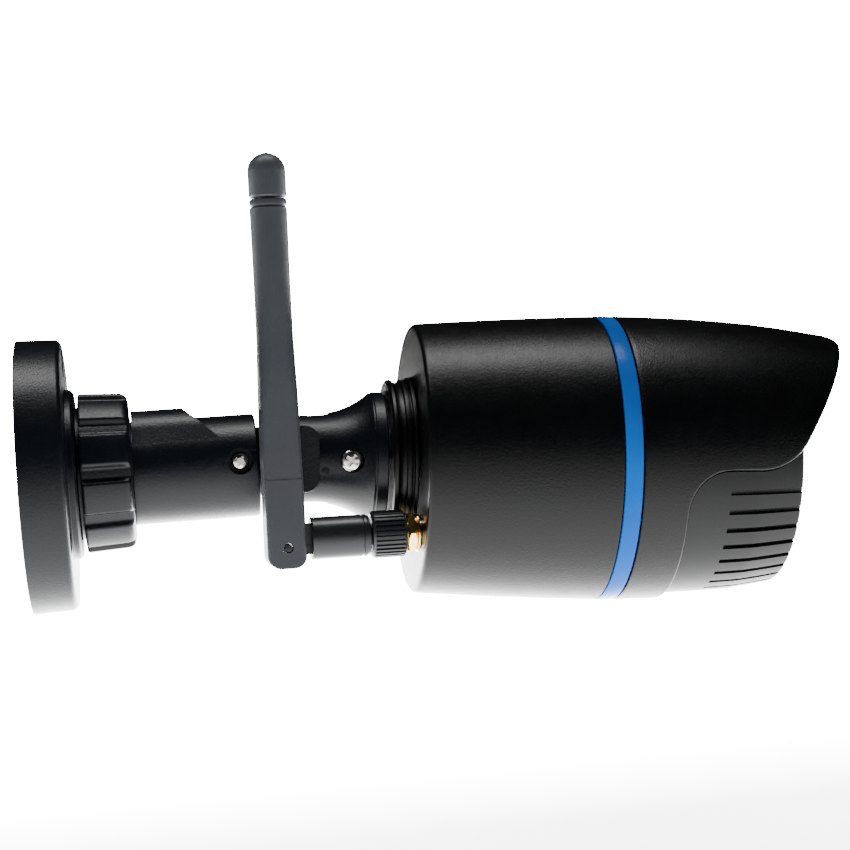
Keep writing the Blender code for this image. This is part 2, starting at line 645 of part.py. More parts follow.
def make_chin():
    outer = [(chin_radius(x), x) for x in (102.7, 93.2, 82.5)]
    front = chin_radius(CHIN_FRONT)
    skin = [(CHIN_BORE_R, CHIN_FRONT), (front - 0.6, CHIN_FRONT), (front, CHIN_FRONT - 0.6)]
    skin += outer
    skin += [(CHIN_BORE_R, 82.5)]
    chin = turned("chin_cover", skin, "chin_plastic", BODY, segments=HOOD_SIDES)
    keep = seam_run(GAP) + [(160.0, 45.0), (160.0, -45.0)]
    cut(chin, prism("chin_keep", keep, -45.0, 45.0, None, BODY, turn=ALONG_MINUS_Y), "INTERSECT")
    above = box("chin_above", (70.0, -40.0, SEAM_Z + 6.0), (130.0, 40.0, 40.0), None, BODY)
    cut(chin, above)
    inner_ring = tube("chin_ring", CHIN_RING_R, CHIN_BORE_R, CHIN_RING_BACK, CHIN_FRONT, None, BODY,
                      segments=HOOD_SIDES)
    cut(chin, inner_ring, "UNION")
    for index in range(-GROOVES_EACH_SIDE, GROOVES_EACH_SIDE + 1):
        side = -1 if index < 0 else 1
        drop = math.radians(90.0) - GROOVE_PITCH * abs(index)
        add_groove(chin, f"groove_{index}", side, drop)


def add_groove(chin, name, side, drop):
    """Cut one straight groove along the chin, at an angle below the horizontal on one side."""
    low = Vector((GROOVE_START, -GROOVE_WIDTH / 2.0, chin_radius(GROOVE_START) - GROOVE_DEPTH))
    high = Vector((CHIN_FRONT + 2.0, GROOVE_WIDTH / 2.0, 34.0))
    cutter = box(name, low, high, None, BODY)
    taper = math.atan2(chin_radius(GROOVE_START) - chin_radius(CHIN_FRONT), CHIN_FRONT - GROOVE_START)
    middle = (low + high) / 2.0
    direction = math.pi / 2.0 + drop
    spin = Matrix.Rotation(side * direction, 4, "X")
    lean = Matrix.Rotation(taper, 4, "Y")
    pivot = Matrix.Translation(Vector((GROOVE_START, 0.0, low.z)) * MM)
    place = Matrix.Translation((middle - Vector((GROOVE_START, 0.0, low.z))) * MM)
    cutter.matrix_local = spin @ pivot @ lean @ place
    cut(chin, cutter)


def make_front_face():
    bezel = [(22.8, 107.7), (25.5, 107.7), (25.9, 107.3), (25.9, 94.0), (24.9, 94.0),
             (24.9, 106.3), (22.8, 106.3)]
    turned("front_bezel", bezel, "black_shell", BODY)
    rod("window_glass", WINDOW_R, 104.2, WINDOW_FRONT, "window", BODY)
    tube("window_gasket", WINDOW_R, 22.5, 103.3, 103.9, "rubber", BODY, segments=MEDIUM)


# ---------------------------------------------------------------- inside the camera
def make_optics():
    box("sensor_board", (84.0, -16.0, -16.0), (85.6, 16.0, 16.0), "board", BODY)
    box("image_sensor", (85.9, -4.0, -4.0), (87.1, 4.0, 4.0), "chip", BODY)
    holder = [(8.0, 94.5), (8.0, 87.6), (10.0, 87.6), (10.0, 85.9), (6.3, 85.9), (6.3, 94.5)]
    turned("lens_holder", holder, "black_shell", BODY, segments=MEDIUM)
    barrel = [(0.0, 99.0), (4.6, 99.0), (4.6, 103.0), (6.6, 103.0), (7.0, 102.6), (7.0, 96.9),
              (6.0, 96.9), (6.0, 88.5), (0.0, 88.5)]
    turned("lens_barrel", barrel, "black_shell", BODY, segments=MEDIUM)
    element = [(0.0, 102.6), (1.6, 102.45), (3.1, 101.95), (4.3, 101.1), (4.3, 99.3), (0.0, 99.3)]
    turned("lens_element", element, "lens_glass", BODY, segments=MEDIUM)


def make_led_ring():
    tube("led_board", 23.5, 9.2, 95.0, 96.6, "board", BODY)
    dome = [(0.0, 102.4), (1.25, 102.05), (2.15, 101.2), (2.5, 100.0), (2.5, 98.0), (2.9, 98.0),
            (2.9, 96.9), (0.0, 96.9)]
    for place in range(LED_PLACES):
        angle = 2.0 * math.pi * place / LED_PLACES - math.pi / 2.0
        at = (0.0, LED_CIRCLE_R * math.cos(angle), LED_CIRCLE_R * math.sin(angle))
        if place == 0:
            rod("photocell", 2.5, 96.9, 99.4, "led_lens", BODY, segments=TINY, at=at)
        else:
            turned(f"ir_led_{place:02d}", dome, "led_lens", BODY, segments=TINY, at=at)


def make_main_board():
    board_top = -4.4
    box("main_board", (38.0, -20.0, board_top - 1.6), (80.0, 20.0, board_top), "board", BODY)
    above = board_top + GAP
    box("soc_chip", (60.0, -7.0, above), (74.0, 7.0, above + 1.6), "chip", BODY)
    box("wifi_module", (42.0, -15.0, above), (55.0, 3.0, above + 2.4), "steel", BODY)
    rod("capacitor", 3.2, above, above + 8.0, "chip", BODY, segments=SMALL, at=(47.0, 10.0, 0.0),
        turn=ALONG_Z)
    index = 0
    for x in (41.0, 65.0):
        for y in (-17.0, 17.0):
            index += 1
            post = [(0.0, board_top - 1.9), (2.2, board_top - 1.9), (2.2, -19.5), (0.0, -19.5)]
            turned(f"board_standoff_{index}", post, "steel", BODY, segments=TINY, at=(x, y, 0.0),
                   turn=ALONG_Z)


def make_pigtail():
    """The thin coax inside, from the jack's inner end up to the Wi-Fi module."""
    start = Vector((6.4, 0.0, 0.0))
    start = BODY.matrix_world.inverted() @ JACK.matrix_world @ (start * MM) / MM
    route = [start, start + Vector((3.5, 0.2, 0.2)), Vector((36.5, -17.5, -9.0)),
             Vector((33.0, -17.5, 0.0)), Vector((33.0, -15.0, 11.0)), Vector((44.0, -11.0, 9.0)),
             Vector((46.0, -9.0, -0.6))]
    curve = bpy.data.curves.new("coax_pigtail", "CURVE")
    curve.dimensions = "3D"
    curve.bevel_depth = 0.7 * MM
    curve.bevel_resolution = 2
    curve.use_fill_caps = True
    spline = curve.splines.new("POLY")
    count = 22
    spline.points.add(count)
    for i, point in enumerate(spline.points):
        place = bezier(route, i / count)
        point.co = (place.x * MM, place.y * MM, place.z * MM, 1.0)
    obj = bpy.data.objects.new("coax_pigtail", curve)
    curve.materials.append(finish_material("pigtail"))
    PARTS.objects.link(obj)
    obj.parent = BODY


def bezier(points, t):
    """A point on the smooth curve that a run of control points draws."""
    while len(points) > 1:
        points = [a.lerp(b, t) for a, b in zip(points, points[1:])]
    return points[0]


# ---------------------------------------------------------------- antenna
def make_jack():
    body = prism("antenna_jack", hexagon(8.0), -3.3, -1.5, "gold", JACK)
    shank = [(0.0, 6.0), (3.0, 6.0), (3.0, -2.0), (0.0, -2.0)]
    cut(body, turned("jack_shank", shank, None, JACK, segments=SMALL), "UNION")
    barrel = [(0.0, -3.0), (3.1, -3.0), (3.1, -8.9), (2.0, -8.9), (2.0, -4.5), (0.0, -4.5)]
    cut(body, turned("jack_barrel", barrel, None, JACK, segments=SMALL), "UNION")
    tube("jack_washer", 4.3, 3.3, -1.2, -0.65, "gold", JACK, segments=MEDIUM)
    nut = prism("jack_nut", hexagon(8.0), 3.3, 5.2, "gold", JACK)
    cut(nut, rod("jack_nut_hole", 3.3, -2.0, 12.0, None, JACK, segments=SMALL))


def make_coupling_nut():
    outline = []
    for i in range(KNURLS):
        for part, radius in ((0.0, NUT_R - 0.35), (0.3, NUT_R), (0.7, NUT_R)):
            angle = 2.0 * math.pi * (i + part) / KNURLS
            outline.append((radius * math.cos(angle), radius * math.sin(angle)))
    nut = prism("coupling_nut", outline, -11.0, -3.6, "antenna_plastic", JACK)
    bore = [(0.0, 0.0), (3.45, 0.0), (3.45, -10.0), (2.65, -10.0), (2.65, -15.0), (0.0, -15.0)]
    cut(nut, turned("nut_bore", bore, None, JACK, segments=MEDIUM))


def make_antenna_elbow():
    profile = [(0.0, -6.6), (0.45, -6.6), (0.45, -9.2), (3.1, -9.2), (3.1, -9.65), (2.3, -9.65),
               (2.3, -11.3), (4.1, -11.3), (4.3, -11.5), (4.3, -12.0), (ELBOW_R, -12.0),
               (ELBOW_R, -23.9), (0.0, -23.9)]
    elbow = turned("antenna_elbow", profile, "antenna_plastic", JACK, segments=MEDIUM)
    reach = arc(PIN_X, PIN_Z, 2.2, 100, 260, 8)
    reach += [(-26.2, -3.2), (-22.0, -3.2), (-22.0, 3.2), (-26.2, 3.2)]
    tongue = prism("antenna_tongue", reach, -2.0, 2.0, None, JACK, turn=ALONG_MINUS_Y)
    cut(elbow, tongue, "UNION")
    cut(elbow, rod("tongue_pin_hole", 1.1, -8.0, 8.0, None, PIN, segments=TINY, turn=ALONG_MINUS_Y))
    rod("antenna_pin", PIN_R, -4.0, 4.0, "antenna_plastic", PIN, segments=TINY, turn=ALONG_MINUS_Y)


def paddle_section(s):
    """Half width, half thickness and corner radius of the paddle at a height above its pin."""
    stations = ((PADDLE_BOTTOM, 4.2, 4.1, 1.2), (20.0, 4.1, 4.0, 1.3), (32.0, 4.05, 3.9, 1.8),
                (44.0, 3.85, 3.85, 3.2), (56.0, 3.9, 3.9, 3.9), (PADDLE_TOP, 4.0, 4.0, 4.0))
    for low, high in zip(stations, stations[1:]):
        if s <= high[0]:
            t = (s - low[0]) / (high[0] - low[0])
            return [a + (b - a) * t for a, b in zip(low[1:], high[1:])]
    return stations[-1][1:]


def make_paddle():
    bm = bmesh.new()
    rings = []
    for s in (PADDLE_BOTTOM, 20.0, 32.0, 38.0, 44.0, 56.0, PADDLE_TOP):
        half_x, half_y, radius = paddle_section(s)
        outline = rounded_rectangle(2.0 * half_x, 2.0 * half_y, min(radius, half_x - 0.001), 4)
        rings.append([bm.verts.new(((x + PADDLE_CENTRE) * MM, y * MM, s * MM)) for x, y in outline])
    for low, high in zip(rings, rings[1:]):
        count = len(low)
        for i in range(count):
            j = (i + 1) % count
            bm.faces.new((low[i], low[j], high[j], high[i]))
    bm.faces.new(list(reversed(rings[0])))
    bm.faces.new(rings[-1])
    mesh = bpy.data.meshes.new("antenna_paddle")
    bm.to_mesh(mesh)
    bm.free()
    paddle = add_object("antenna_paddle", mesh, "antenna_plastic", PIN, (0.0, 0.0, 0.0), ALONG_Z)
    front = PADDLE_CENTRE + 4.2
    back = PADDLE_CENTRE - 4.2
    foot = 2.9
    foot_side = arc(front - foot, PADDLE_BOTTOM + foot, foot, 0, -90, 6)
    foot_side += arc(back + foot, PADDLE_BOTTOM + foot, foot, -90, -180, 6)
    foot_side += [(back - 1.0, 10.0), (back - 1.0, 90.0), (front + 1.0, 90.0), (front + 1.0, 10.0)]
    cut(paddle, prism("paddle_foot", foot_side, -9.0, 9.0, None, PIN, turn=ALONG_MINUS_Y), "INTERSECT")
    cut(paddle, box("paddle_slot", (-2.9, -2.3, -8.0), (8.0, 2.3, 5.3), None, PIN))
    cut(paddle, rod("paddle_bore", PADDLE_BORE_R, 8.0, 90.0, None, PIN, segments=SMALL,
                    at=(PADDLE_CENTRE, 0.0, 0.0), turn=ALONG_Z))
    cut(paddle, rod("paddle_pin_hole", 1.0, -9.0, 9.0, None, PIN, segments=TINY, turn=ALONG_MINUS_Y))
    tip = [(0.0, PADDLE_TIP), (0.5, PADDLE_TIP - 0.05)]
    tip += [(r, z) for z, r in arc(PADDLE_TIP - 4.1, 0.0, 4.0, 15, 90, 5)]
    tip += [(4.0, PADDLE_TOP + 1.2), (3.6, PADDLE_TOP + 0.7), (3.9, PADDLE_TOP + GAP),
            (2.4, PADDLE_TOP + GAP), (2.4, PADDLE_TOP - 5.0), (0.0, PADDLE_TOP - 5.0)]
    turned("antenna_tip", tip, "antenna_plastic", PIN, segments=MEDIUM,
           at=(PADDLE_CENTRE, 0.0, 0.0), turn=ALONG_Z)
    rod("antenna_whip", 0.9, 8.4, PADDLE_TOP - 5.4, "gold", PIN, segments=TINY,
        at=(PADDLE_CENTRE, 0.0, 0.0), turn=ALONG_Z)


def shade_round_pieces():
    """Smooth shading on the built meshes, with creases kept sharp."""
    for obj in PARTS.objects:
        if obj.type == "MESH" and len(obj.data.polygons):
            obj.data.shade_smooth()
            obj.data.set_sharp_from_angle(angle=math.radians(35.0))


bpy.context.view_layer.update()
make_wall_plate()
make_lock_ring()
make_lower_arm()
make_upper_arm()
make_elbow_hardware()
make_neck()
make_rear_housing()
make_trim_and_seal()
make_hood()
make_chin()
make_front_face()
make_optics()
make_led_ring()
make_main_board()
make_pigtail()
make_jack()
make_coupling_nut()
make_antenna_elbow()
make_paddle()
shade_round_pieces()
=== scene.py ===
"""Looks of the wall-mounted bullet camera: fine meshes, finishes, light and camera.

Lengths below are in millimetres in one of four frames: the row's own, the camera body's (from the
elbow's axis, leaning nose down), the antenna jack's and the antenna hinge pin's. The frames come
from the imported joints. In each of them a turned piece lies along X.
"""
import json
import math

import bmesh
import bpy
from mathutils import Matrix, Vector


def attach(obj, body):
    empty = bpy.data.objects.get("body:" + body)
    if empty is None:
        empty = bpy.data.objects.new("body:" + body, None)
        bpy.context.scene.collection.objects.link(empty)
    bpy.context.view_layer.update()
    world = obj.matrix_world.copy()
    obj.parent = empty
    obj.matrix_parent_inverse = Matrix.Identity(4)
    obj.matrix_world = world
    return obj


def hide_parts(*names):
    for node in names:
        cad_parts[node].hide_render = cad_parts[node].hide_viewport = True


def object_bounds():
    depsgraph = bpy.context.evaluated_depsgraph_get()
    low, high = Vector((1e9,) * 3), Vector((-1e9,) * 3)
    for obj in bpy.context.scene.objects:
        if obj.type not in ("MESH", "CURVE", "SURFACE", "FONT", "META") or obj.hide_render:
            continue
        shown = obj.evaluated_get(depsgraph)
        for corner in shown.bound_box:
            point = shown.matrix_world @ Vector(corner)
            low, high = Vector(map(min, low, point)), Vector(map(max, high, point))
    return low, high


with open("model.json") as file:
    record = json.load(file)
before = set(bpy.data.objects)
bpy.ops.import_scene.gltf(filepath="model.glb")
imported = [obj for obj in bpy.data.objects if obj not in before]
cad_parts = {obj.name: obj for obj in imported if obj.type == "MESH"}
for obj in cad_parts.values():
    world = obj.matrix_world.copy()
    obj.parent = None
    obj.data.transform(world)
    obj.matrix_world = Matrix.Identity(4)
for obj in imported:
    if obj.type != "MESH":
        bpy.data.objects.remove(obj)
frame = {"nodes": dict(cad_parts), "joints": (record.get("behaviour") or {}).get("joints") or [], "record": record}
cad_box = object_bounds()

MM = 0.001
JOINTS = {joint["name"]: joint for joint in frame["joints"]}


def axes_frame(origin, forward, side):
    """A frame at an origin in metres, with X forward and Y to the side."""
    up = forward.cross(side)
    turn = Matrix((forward, side, up)).transposed()
    return Matrix.Translation(origin) @ turn.to_4x4()


ELBOW = Vector(JOINTS["elbow_tilt"]["pos_m"])
BODY_FORWARD = Vector(JOINTS["neck_roll"]["axis"])
JACK_FORWARD = Vector(JOINTS["antenna_swivel"]["axis"])
PIN_SIDE = -Vector(JOINTS["antenna_tilt"]["axis"])
PIN_PLACE = Vector(JOINTS["antenna_tilt"]["pos_m"])
SWIVEL_X = -12.0

ROW = Matrix.Identity(4)
BODY = axes_frame(ELBOW, BODY_FORWARD, Vector((0.0, 1.0, 0.0)))
JACK_PLACE = Vector(JOINTS["antenna_swivel"]["pos_m"]) - JACK_FORWARD * SWIVEL_X * MM
JACK = axes_frame(JACK_PLACE, JACK_FORWARD, PIN_SIDE)
PIN = axes_frame(PIN_PLACE, JACK_FORWARD, PIN_SIDE)

# ---------------------------------------------------------------- camera, light and floor
VIEW_YAW = math.radians(8.4)
VIEW_DISTANCE = 426.0
VIEW_HEIGHT = 7.4
VIEW_TARGET_X = 29.65
VIEW_LENS = 80.64
FLOOR_DROP = 0.055
FLOOR_HALF_SIDE = 3.0
FLOOR_CENTRE_X = 0.09
FLOOR_GLOW = 6.5
FLOOR_FRONT_GLOW = 1.8
FLOOR_FADE = (-0.27, 0.0)
FLOOR_BACK_GLOW = 14.0
FLOOR_BACK_FADE = (0.03, 0.14)
BACKDROP = 40.0
TENT_LOW = 4.0
TENT_HIGH = 0.3
TENT_STEPS = ((0.30, 2.5), (0.46, 0.05), (0.52, 0.012), (0.90, 0.012), (0.97, 0.15))
SOFTBOX_PLACE = (0.04, 0.01, 0.6)
SOFTBOX_TARGET = (0.04, 0.0, 0.0)
SOFTBOX_SIZE = (0.58, 0.18)
SOFTBOX_POWER = 4.9


def make_camera():
    """The camera looks square at the body's side, a little from behind, level with the body."""
    look = Vector((math.sin(VIEW_YAW), math.cos(VIEW_YAW), 0.0))
    place = Vector((VIEW_TARGET_X, 0.0, VIEW_HEIGHT)) - look * VIEW_DISTANCE
    right = Vector((math.cos(VIEW_YAW), -math.sin(VIEW_YAW), 0.0))
    up = Vector((0.0, 0.0, 1.0))
    turn = Matrix((right, up, -look)).transposed()
    data = bpy.data.cameras.new("photo_camera")
    data.lens = VIEW_LENS
    data.sensor_width = 36.0
    data.clip_start = 0.01
    camera = bpy.data.objects.new("photo_camera", data)
    bpy.context.scene.collection.objects.link(camera)
    camera.matrix_world = BODY @ Matrix.Translation(place * MM) @ turn.to_4x4()
    bpy.context.scene.camera = camera


def make_softbox():
    """A softbox overhead, aimed down at the body."""
    data = bpy.data.lights.new("top_softbox", "AREA")
    data.shape = "RECTANGLE"
    data.size, data.size_y = SOFTBOX_SIZE
    data.energy = SOFTBOX_POWER
    light = bpy.data.objects.new("top_softbox", data)
    bpy.context.scene.collection.objects.link(light)
    light.location = SOFTBOX_PLACE
    aim = Vector(SOFTBOX_TARGET) - Vector(SOFTBOX_PLACE)
    light.rotation_euler = aim.to_track_quat("-Z", "Y").to_euler()
    light.visible_camera = False


def make_tent():
    """A light tent, bright low down and dark overhead; the camera sees a plain bright backdrop."""
    world = bpy.data.worlds.new("studio")
    bpy.context.scene.world = world
    world.use_nodes = True
    tree = world.node_tree
    place = tree.nodes.new("ShaderNodeTexCoord")
    split = tree.nodes.new("ShaderNodeSeparateXYZ")
    tree.links.new(place.outputs["Generated"], split.inputs["Vector"])
    ramp = tree.nodes.new("ShaderNodeValToRGB")
    tree.links.new(span(tree, split.outputs["Z"], -1.0, 1.0, 0.0, 1.0), ramp.inputs["Fac"])
    points = ramp.color_ramp.elements
    points[0].color = (TENT_LOW, TENT_LOW, TENT_LOW, 1.0)
    points[1].color = (TENT_HIGH, TENT_HIGH, TENT_HIGH, 1.0)
    for where, value in TENT_STEPS:
        points.new(where).color = (value, value, value, 1.0)
    rays = tree.nodes.new("ShaderNodeLightPath")
    seen = blend_colours(tree, rays.outputs["Is Camera Ray"], ramp.outputs["Color"], (BACKDROP,) * 3)
    background = tree.nodes["Background"]
    tree.links.new(seen, background.inputs["Color"])
    background.inputs["Strength"].default_value = 1.0


def make_floor():
    """A pale floor that glows, less in front of the object and more behind it."""
    bm = bmesh.new()
    bmesh.ops.create_grid(bm, x_segments=2, y_segments=2, size=FLOOR_HALF_SIDE)
    floor = linked_object("floor", bm)
    floor.location = (FLOOR_CENTRE_X, 0.0, cad_box[0][2] - FLOOR_DROP)
    mat, tree, shader = new_material("floor")
    shader.inputs["Base Color"].default_value = (0.9, 0.9, 0.9, 1.0)
    shader.inputs["Roughness"].default_value = 0.8
    shader.inputs["Specular IOR Level"].default_value = 0.2
    shader.inputs["Emission Color"].default_value = (1.0, 1.0, 1.0, 1.0)
    spot = tree.nodes.new("ShaderNodeTexCoord")
    parts = tree.nodes.new("ShaderNodeSeparateXYZ")
    tree.links.new(spot.outputs["Object"], parts.inputs["Vector"])
    near = span(tree, parts.outputs["Y"], *FLOOR_FADE, FLOOR_FRONT_GLOW, FLOOR_GLOW)
    behind = span(tree, parts.outputs["Y"], *FLOOR_BACK_FADE, 0.0, FLOOR_BACK_GLOW)
    tree.links.new(combine(tree, "ADD", near, behind), shader.inputs["Emission Strength"])
    floor.data.materials.append(mat)


# ---------------------------------------------------------------- finishes
def new_material(name):
    """A node material, with its tree and its Principled shader."""
    mat = bpy.data.materials.new(name)
    mat.use_nodes = True
    tree = mat.node_tree
    return mat, tree, tree.nodes["Principled BSDF"]


def noise(tree, scale, detail=3.0, roughness=0.55):
    """Noise in the object's own space, so that it is the same on every side."""
    place = tree.nodes.new("ShaderNodeTexCoord")
    texture = tree.nodes.new("ShaderNodeTexNoise")
    texture.inputs["Scale"].default_value = scale
    texture.inputs["Detail"].default_value = detail
    texture.inputs["Roughness"].default_value = roughness
    tree.links.new(place.outputs["Object"], texture.inputs["Vector"])
    return texture


def span(tree, source, low, high, to_low, to_high):
    """Map a value from one span to another."""
    node = tree.nodes.new("ShaderNodeMapRange")
    node.inputs["From Min"].default_value = low
    node.inputs["From Max"].default_value = high
    node.inputs["To Min"].default_value = to_low
    node.inputs["To Max"].default_value = to_high
    tree.links.new(source, node.inputs["Value"])
    return node.outputs["Result"]


def combine(tree, operation, first, second):
    """Join two values by a sum or a product."""
    node = tree.nodes.new("ShaderNodeMath")
    node.operation = operation
    tree.links.new(first, node.inputs[0])
    tree.links.new(second, node.inputs[1])
    return node.outputs[0]


def blend_colours(tree, factor, first, second):
    """Mix two colours, or a linked colour and a plain one, by a factor."""
    node = tree.nodes.new("ShaderNodeMix")
    node.data_type = "RGBA"
    tree.links.new(factor, node.inputs["Factor"])
    sockets = [s for s in node.inputs if s.type == "RGBA"]
    for socket, value in zip(sockets, (first, second)):
        if isinstance(value, tuple):
            socket.default_value = (*value, 1.0)
        else:
            tree.links.new(value, socket)
    return [s for s in node.outputs if s.type == "RGBA"][0]


def add_bump(tree, shader, height, distance, strength, before=None):
    """Raise the surface by a height map, after an earlier bump if there is one."""
    bump = tree.nodes.new("ShaderNodeBump")
    bump.inputs["Distance"].default_value = distance
    bump.inputs["Strength"].default_value = strength
    tree.links.new(height, bump.inputs["Height"])
    if before is not None:
        tree.links.new(before, bump.inputs["Normal"])
    tree.links.new(bump.outputs["Normal"], shader.inputs["Normal"])
    return bump.outputs["Normal"]


def moulded_plastic(name, colour, worn, rough, grain=2600.0, depth=0.00003, shine=0.5):
    """Moulded plastic: fine spark texture, faint mottling, uneven sheen and rubbed edges."""
    mat, tree, shader = new_material(name)
    mottle = noise(tree, 60.0, 4.0)
    darker = tuple(channel * 0.93 for channel in colour)
    lighter = tuple(channel * 1.07 for channel in colour)
    base = blend_colours(tree, span(tree, mottle.outputs["Fac"], 0.35, 0.65, 0.0, 1.0), darker, lighter)
    geometry = tree.nodes.new("ShaderNodeNewGeometry")
    edge = span(tree, geometry.outputs["Pointiness"], 0.53, 0.60, 0.0, 0.4)
    scuffs = noise(tree, 420.0, 5.0, 0.7)
    patchy = span(tree, scuffs.outputs["Fac"], 0.42, 0.62, 0.0, 1.0)
    coloured = blend_colours(tree, combine(tree, "MULTIPLY", edge, patchy), base, worn)
    tree.links.new(coloured, shader.inputs["Base Color"])
    sheen = noise(tree, 240.0, 3.0)
    tree.links.new(span(tree, sheen.outputs["Fac"], 0.3, 0.7, rough - 0.02, rough + 0.03),
                   shader.inputs["Roughness"])
    shader.inputs["Specular IOR Level"].default_value = shine
    spark = noise(tree, grain, 2.0, 0.6)
    first = add_bump(tree, shader, spark.outputs["Fac"], depth, 0.6)
    sink = noise(tree, 35.0, 1.0)
    add_bump(tree, shader, sink.outputs["Fac"], 0.00012, 0.1, first)
    return mat


def gloss_trim(name, deep, light):
    """Glossy dyed plastic, deep blue with a lighter bloom and faint orange peel."""
    mat, tree, shader = new_material(name)
    cloud = noise(tree, 45.0, 2.0)
    tone = span(tree, cloud.outputs["Fac"], 0.35, 0.65, 0.0, 1.0)
    tree.links.new(blend_colours(tree, tone, deep, light), shader.inputs["Base Color"])
    smear = noise(tree, 300.0, 4.0)
    tree.links.new(span(tree, smear.outputs["Fac"], 0.3, 0.7, 0.16, 0.26), shader.inputs["Roughness"])
    shader.inputs["Specular IOR Level"].default_value = 0.04
    peel = noise(tree, 420.0, 2.0)
    add_bump(tree, shader, peel.outputs["Fac"], 0.00002, 0.35)
    return mat


def plated_metal(name, colour, dull, rough, tool_marks=900.0):
    """Plated metal: turning marks, faint tarnish and an uneven polish."""
    mat, tree, shader = new_material(name)
    shader.inputs["Metallic"].default_value = 1.0
    tarnish = noise(tree, 380.0, 5.0, 0.65)
    tone = span(tree, tarnish.outputs["Fac"], 0.4, 0.7, 0.0, 0.7)
    tree.links.new(blend_colours(tree, tone, colour, dull), shader.inputs["Base Color"])
    polish = noise(tree, 1400.0, 3.0)
    tree.links.new(span(tree, polish.outputs["Fac"], 0.3, 0.7, rough - 0.06, rough + 0.08),
                   shader.inputs["Roughness"])
    marks = noise(tree, tool_marks, 2.0)
    add_bump(tree, shader, marks.outputs["Fac"], 0.00002, 0.4)
    return mat


def clear_part(name, colour, rough, ior, transmission):
    """Clear moulded or ground part, with dust and faint ripples."""
    mat, tree, shader = new_material(name)
    dust = noise(tree, 700.0, 4.0, 0.7)
    hazed = tuple(min(1.0, channel * 1.15 + 0.01) for channel in colour)
    tone = span(tree, dust.outputs["Fac"], 0.5, 0.75, 0.0, 1.0)
    tree.links.new(blend_colours(tree, tone, colour, hazed), shader.inputs["Base Color"])
    tree.links.new(span(tree, dust.outputs["Fac"], 0.45, 0.75, rough, rough + 0.05),
                   shader.inputs["Roughness"])
    shader.inputs["IOR"].default_value = ior
    shader.inputs["Transmission Weight"].default_value = transmission
    ripple = noise(tree, 90.0, 1.0)
    add_bump(tree, shader, ripple.outputs["Fac"], 0.00001, 0.3)
    return mat


def circuit_board(name, mask, copper):
    """Solder mask over traces: blocky lines in two sizes, with a slight relief."""
    mat, tree, shader = new_material(name)
    place = tree.nodes.new("ShaderNodeTexCoord")
    traces = tree.nodes.new("ShaderNodeTexBrick")
    traces.inputs["Scale"].default_value = 260.0
    traces.inputs["Mortar Size"].default_value = 0.03
    tree.links.new(place.outputs["Object"], traces.inputs["Vector"])
    grime = noise(tree, 500.0, 3.0)
    tone = span(tree, traces.outputs["Fac"], 0.0, 1.0, 0.0, 0.8)
    tree.links.new(blend_colours(tree, tone, mask, copper), shader.inputs["Base Color"])
    tree.links.new(span(tree, grime.outputs["Fac"], 0.3, 0.7, 0.3, 0.45), shader.inputs["Roughness"])
    add_bump(tree, shader, traces.outputs["Fac"], 0.00003, 0.4)
    return mat


SHELL = moulded_plastic("black_shell", (0.0010, 0.0011, 0.0014), (0.018, 0.018, 0.02), 0.30,
                        2600.0, 0.00011, shine=0.17)
BRACKET = moulded_plastic("black_bracket", (0.0020, 0.0027, 0.0042), (0.028, 0.03, 0.036), 0.30,
                          2600.0, 0.00011, shine=0.19)
CHIN = moulded_plastic("chin_plastic", (0.0050, 0.0052, 0.0055), (0.035, 0.035, 0.036), 0.36, shine=0.15)
AERIAL = moulded_plastic("antenna_plastic", (0.030, 0.032, 0.037), (0.07, 0.073, 0.08), 0.42, 2200.0,
                         shine=0.2)
AERIAL_DARK = moulded_plastic("antenna_knuckle", (0.007, 0.0075, 0.009), (0.045, 0.047, 0.05), 0.30, 3000.0,
                              0.00004, shine=0.3)
RUBBER = moulded_plastic("rubber", (0.006, 0.006, 0.006), (0.03, 0.03, 0.03), 0.72, 900.0)
CHIP = moulded_plastic("chip", (0.012, 0.012, 0.013), (0.05, 0.05, 0.05), 0.5, 1500.0)
JACKET = moulded_plastic("pigtail", (0.03, 0.03, 0.033), (0.08, 0.08, 0.08), 0.45, 1800.0)
BLUE = gloss_trim("blue_trim", (0.0015, 0.066, 0.30), (0.003, 0.09, 0.38))
STEEL = plated_metal("steel", (0.80, 0.78, 0.74), (0.52, 0.50, 0.47), 0.20)
GOLD = plated_metal("gold", (0.98, 0.72, 0.30), (0.72, 0.45, 0.14), 0.16)
WINDOW = clear_part("window", (0.42, 0.42, 0.45), 0.02, 1.5, 1.0)
LED_EPOXY = clear_part("led_lens", (0.55, 0.53, 0.60), 0.06, 1.5, 0.6)
LENS = clear_part("lens_glass", (0.20, 0.20, 0.42), 0.01, 1.7, 0.5)
BOARD = circuit_board("board", (0.010, 0.085, 0.035), (0.05, 0.20, 0.08))
LED_BOARD = circuit_board("led_board", (0.010, 0.010, 0.012), (0.035, 0.035, 0.038))
SLOT_FINISH = {
    "black_shell": SHELL, "black_bracket": BRACKET, "chin_plastic": CHIN, "antenna_plastic": AERIAL,
    "rubber": RUBBER, "chip": CHIP, "pigtail": JACKET, "blue_trim": BLUE, "steel": STEEL,
    "gold": GOLD, "window": WINDOW, "led_lens": LED_EPOXY, "lens_glass": LENS, "board": BOARD,
}


# ---------------------------------------------------------------- mesh tools
def arc(cx, cy, radius, start, end, steps):
    """Points on an arc, both ends included; angles in degrees."""
    points = []
    for i in range(steps + 1):
        angle = math.radians(start + (end - start) * i / steps)
        points.append((cx + radius * math.cos(angle), cy + radius * math.sin(angle)))
    return points


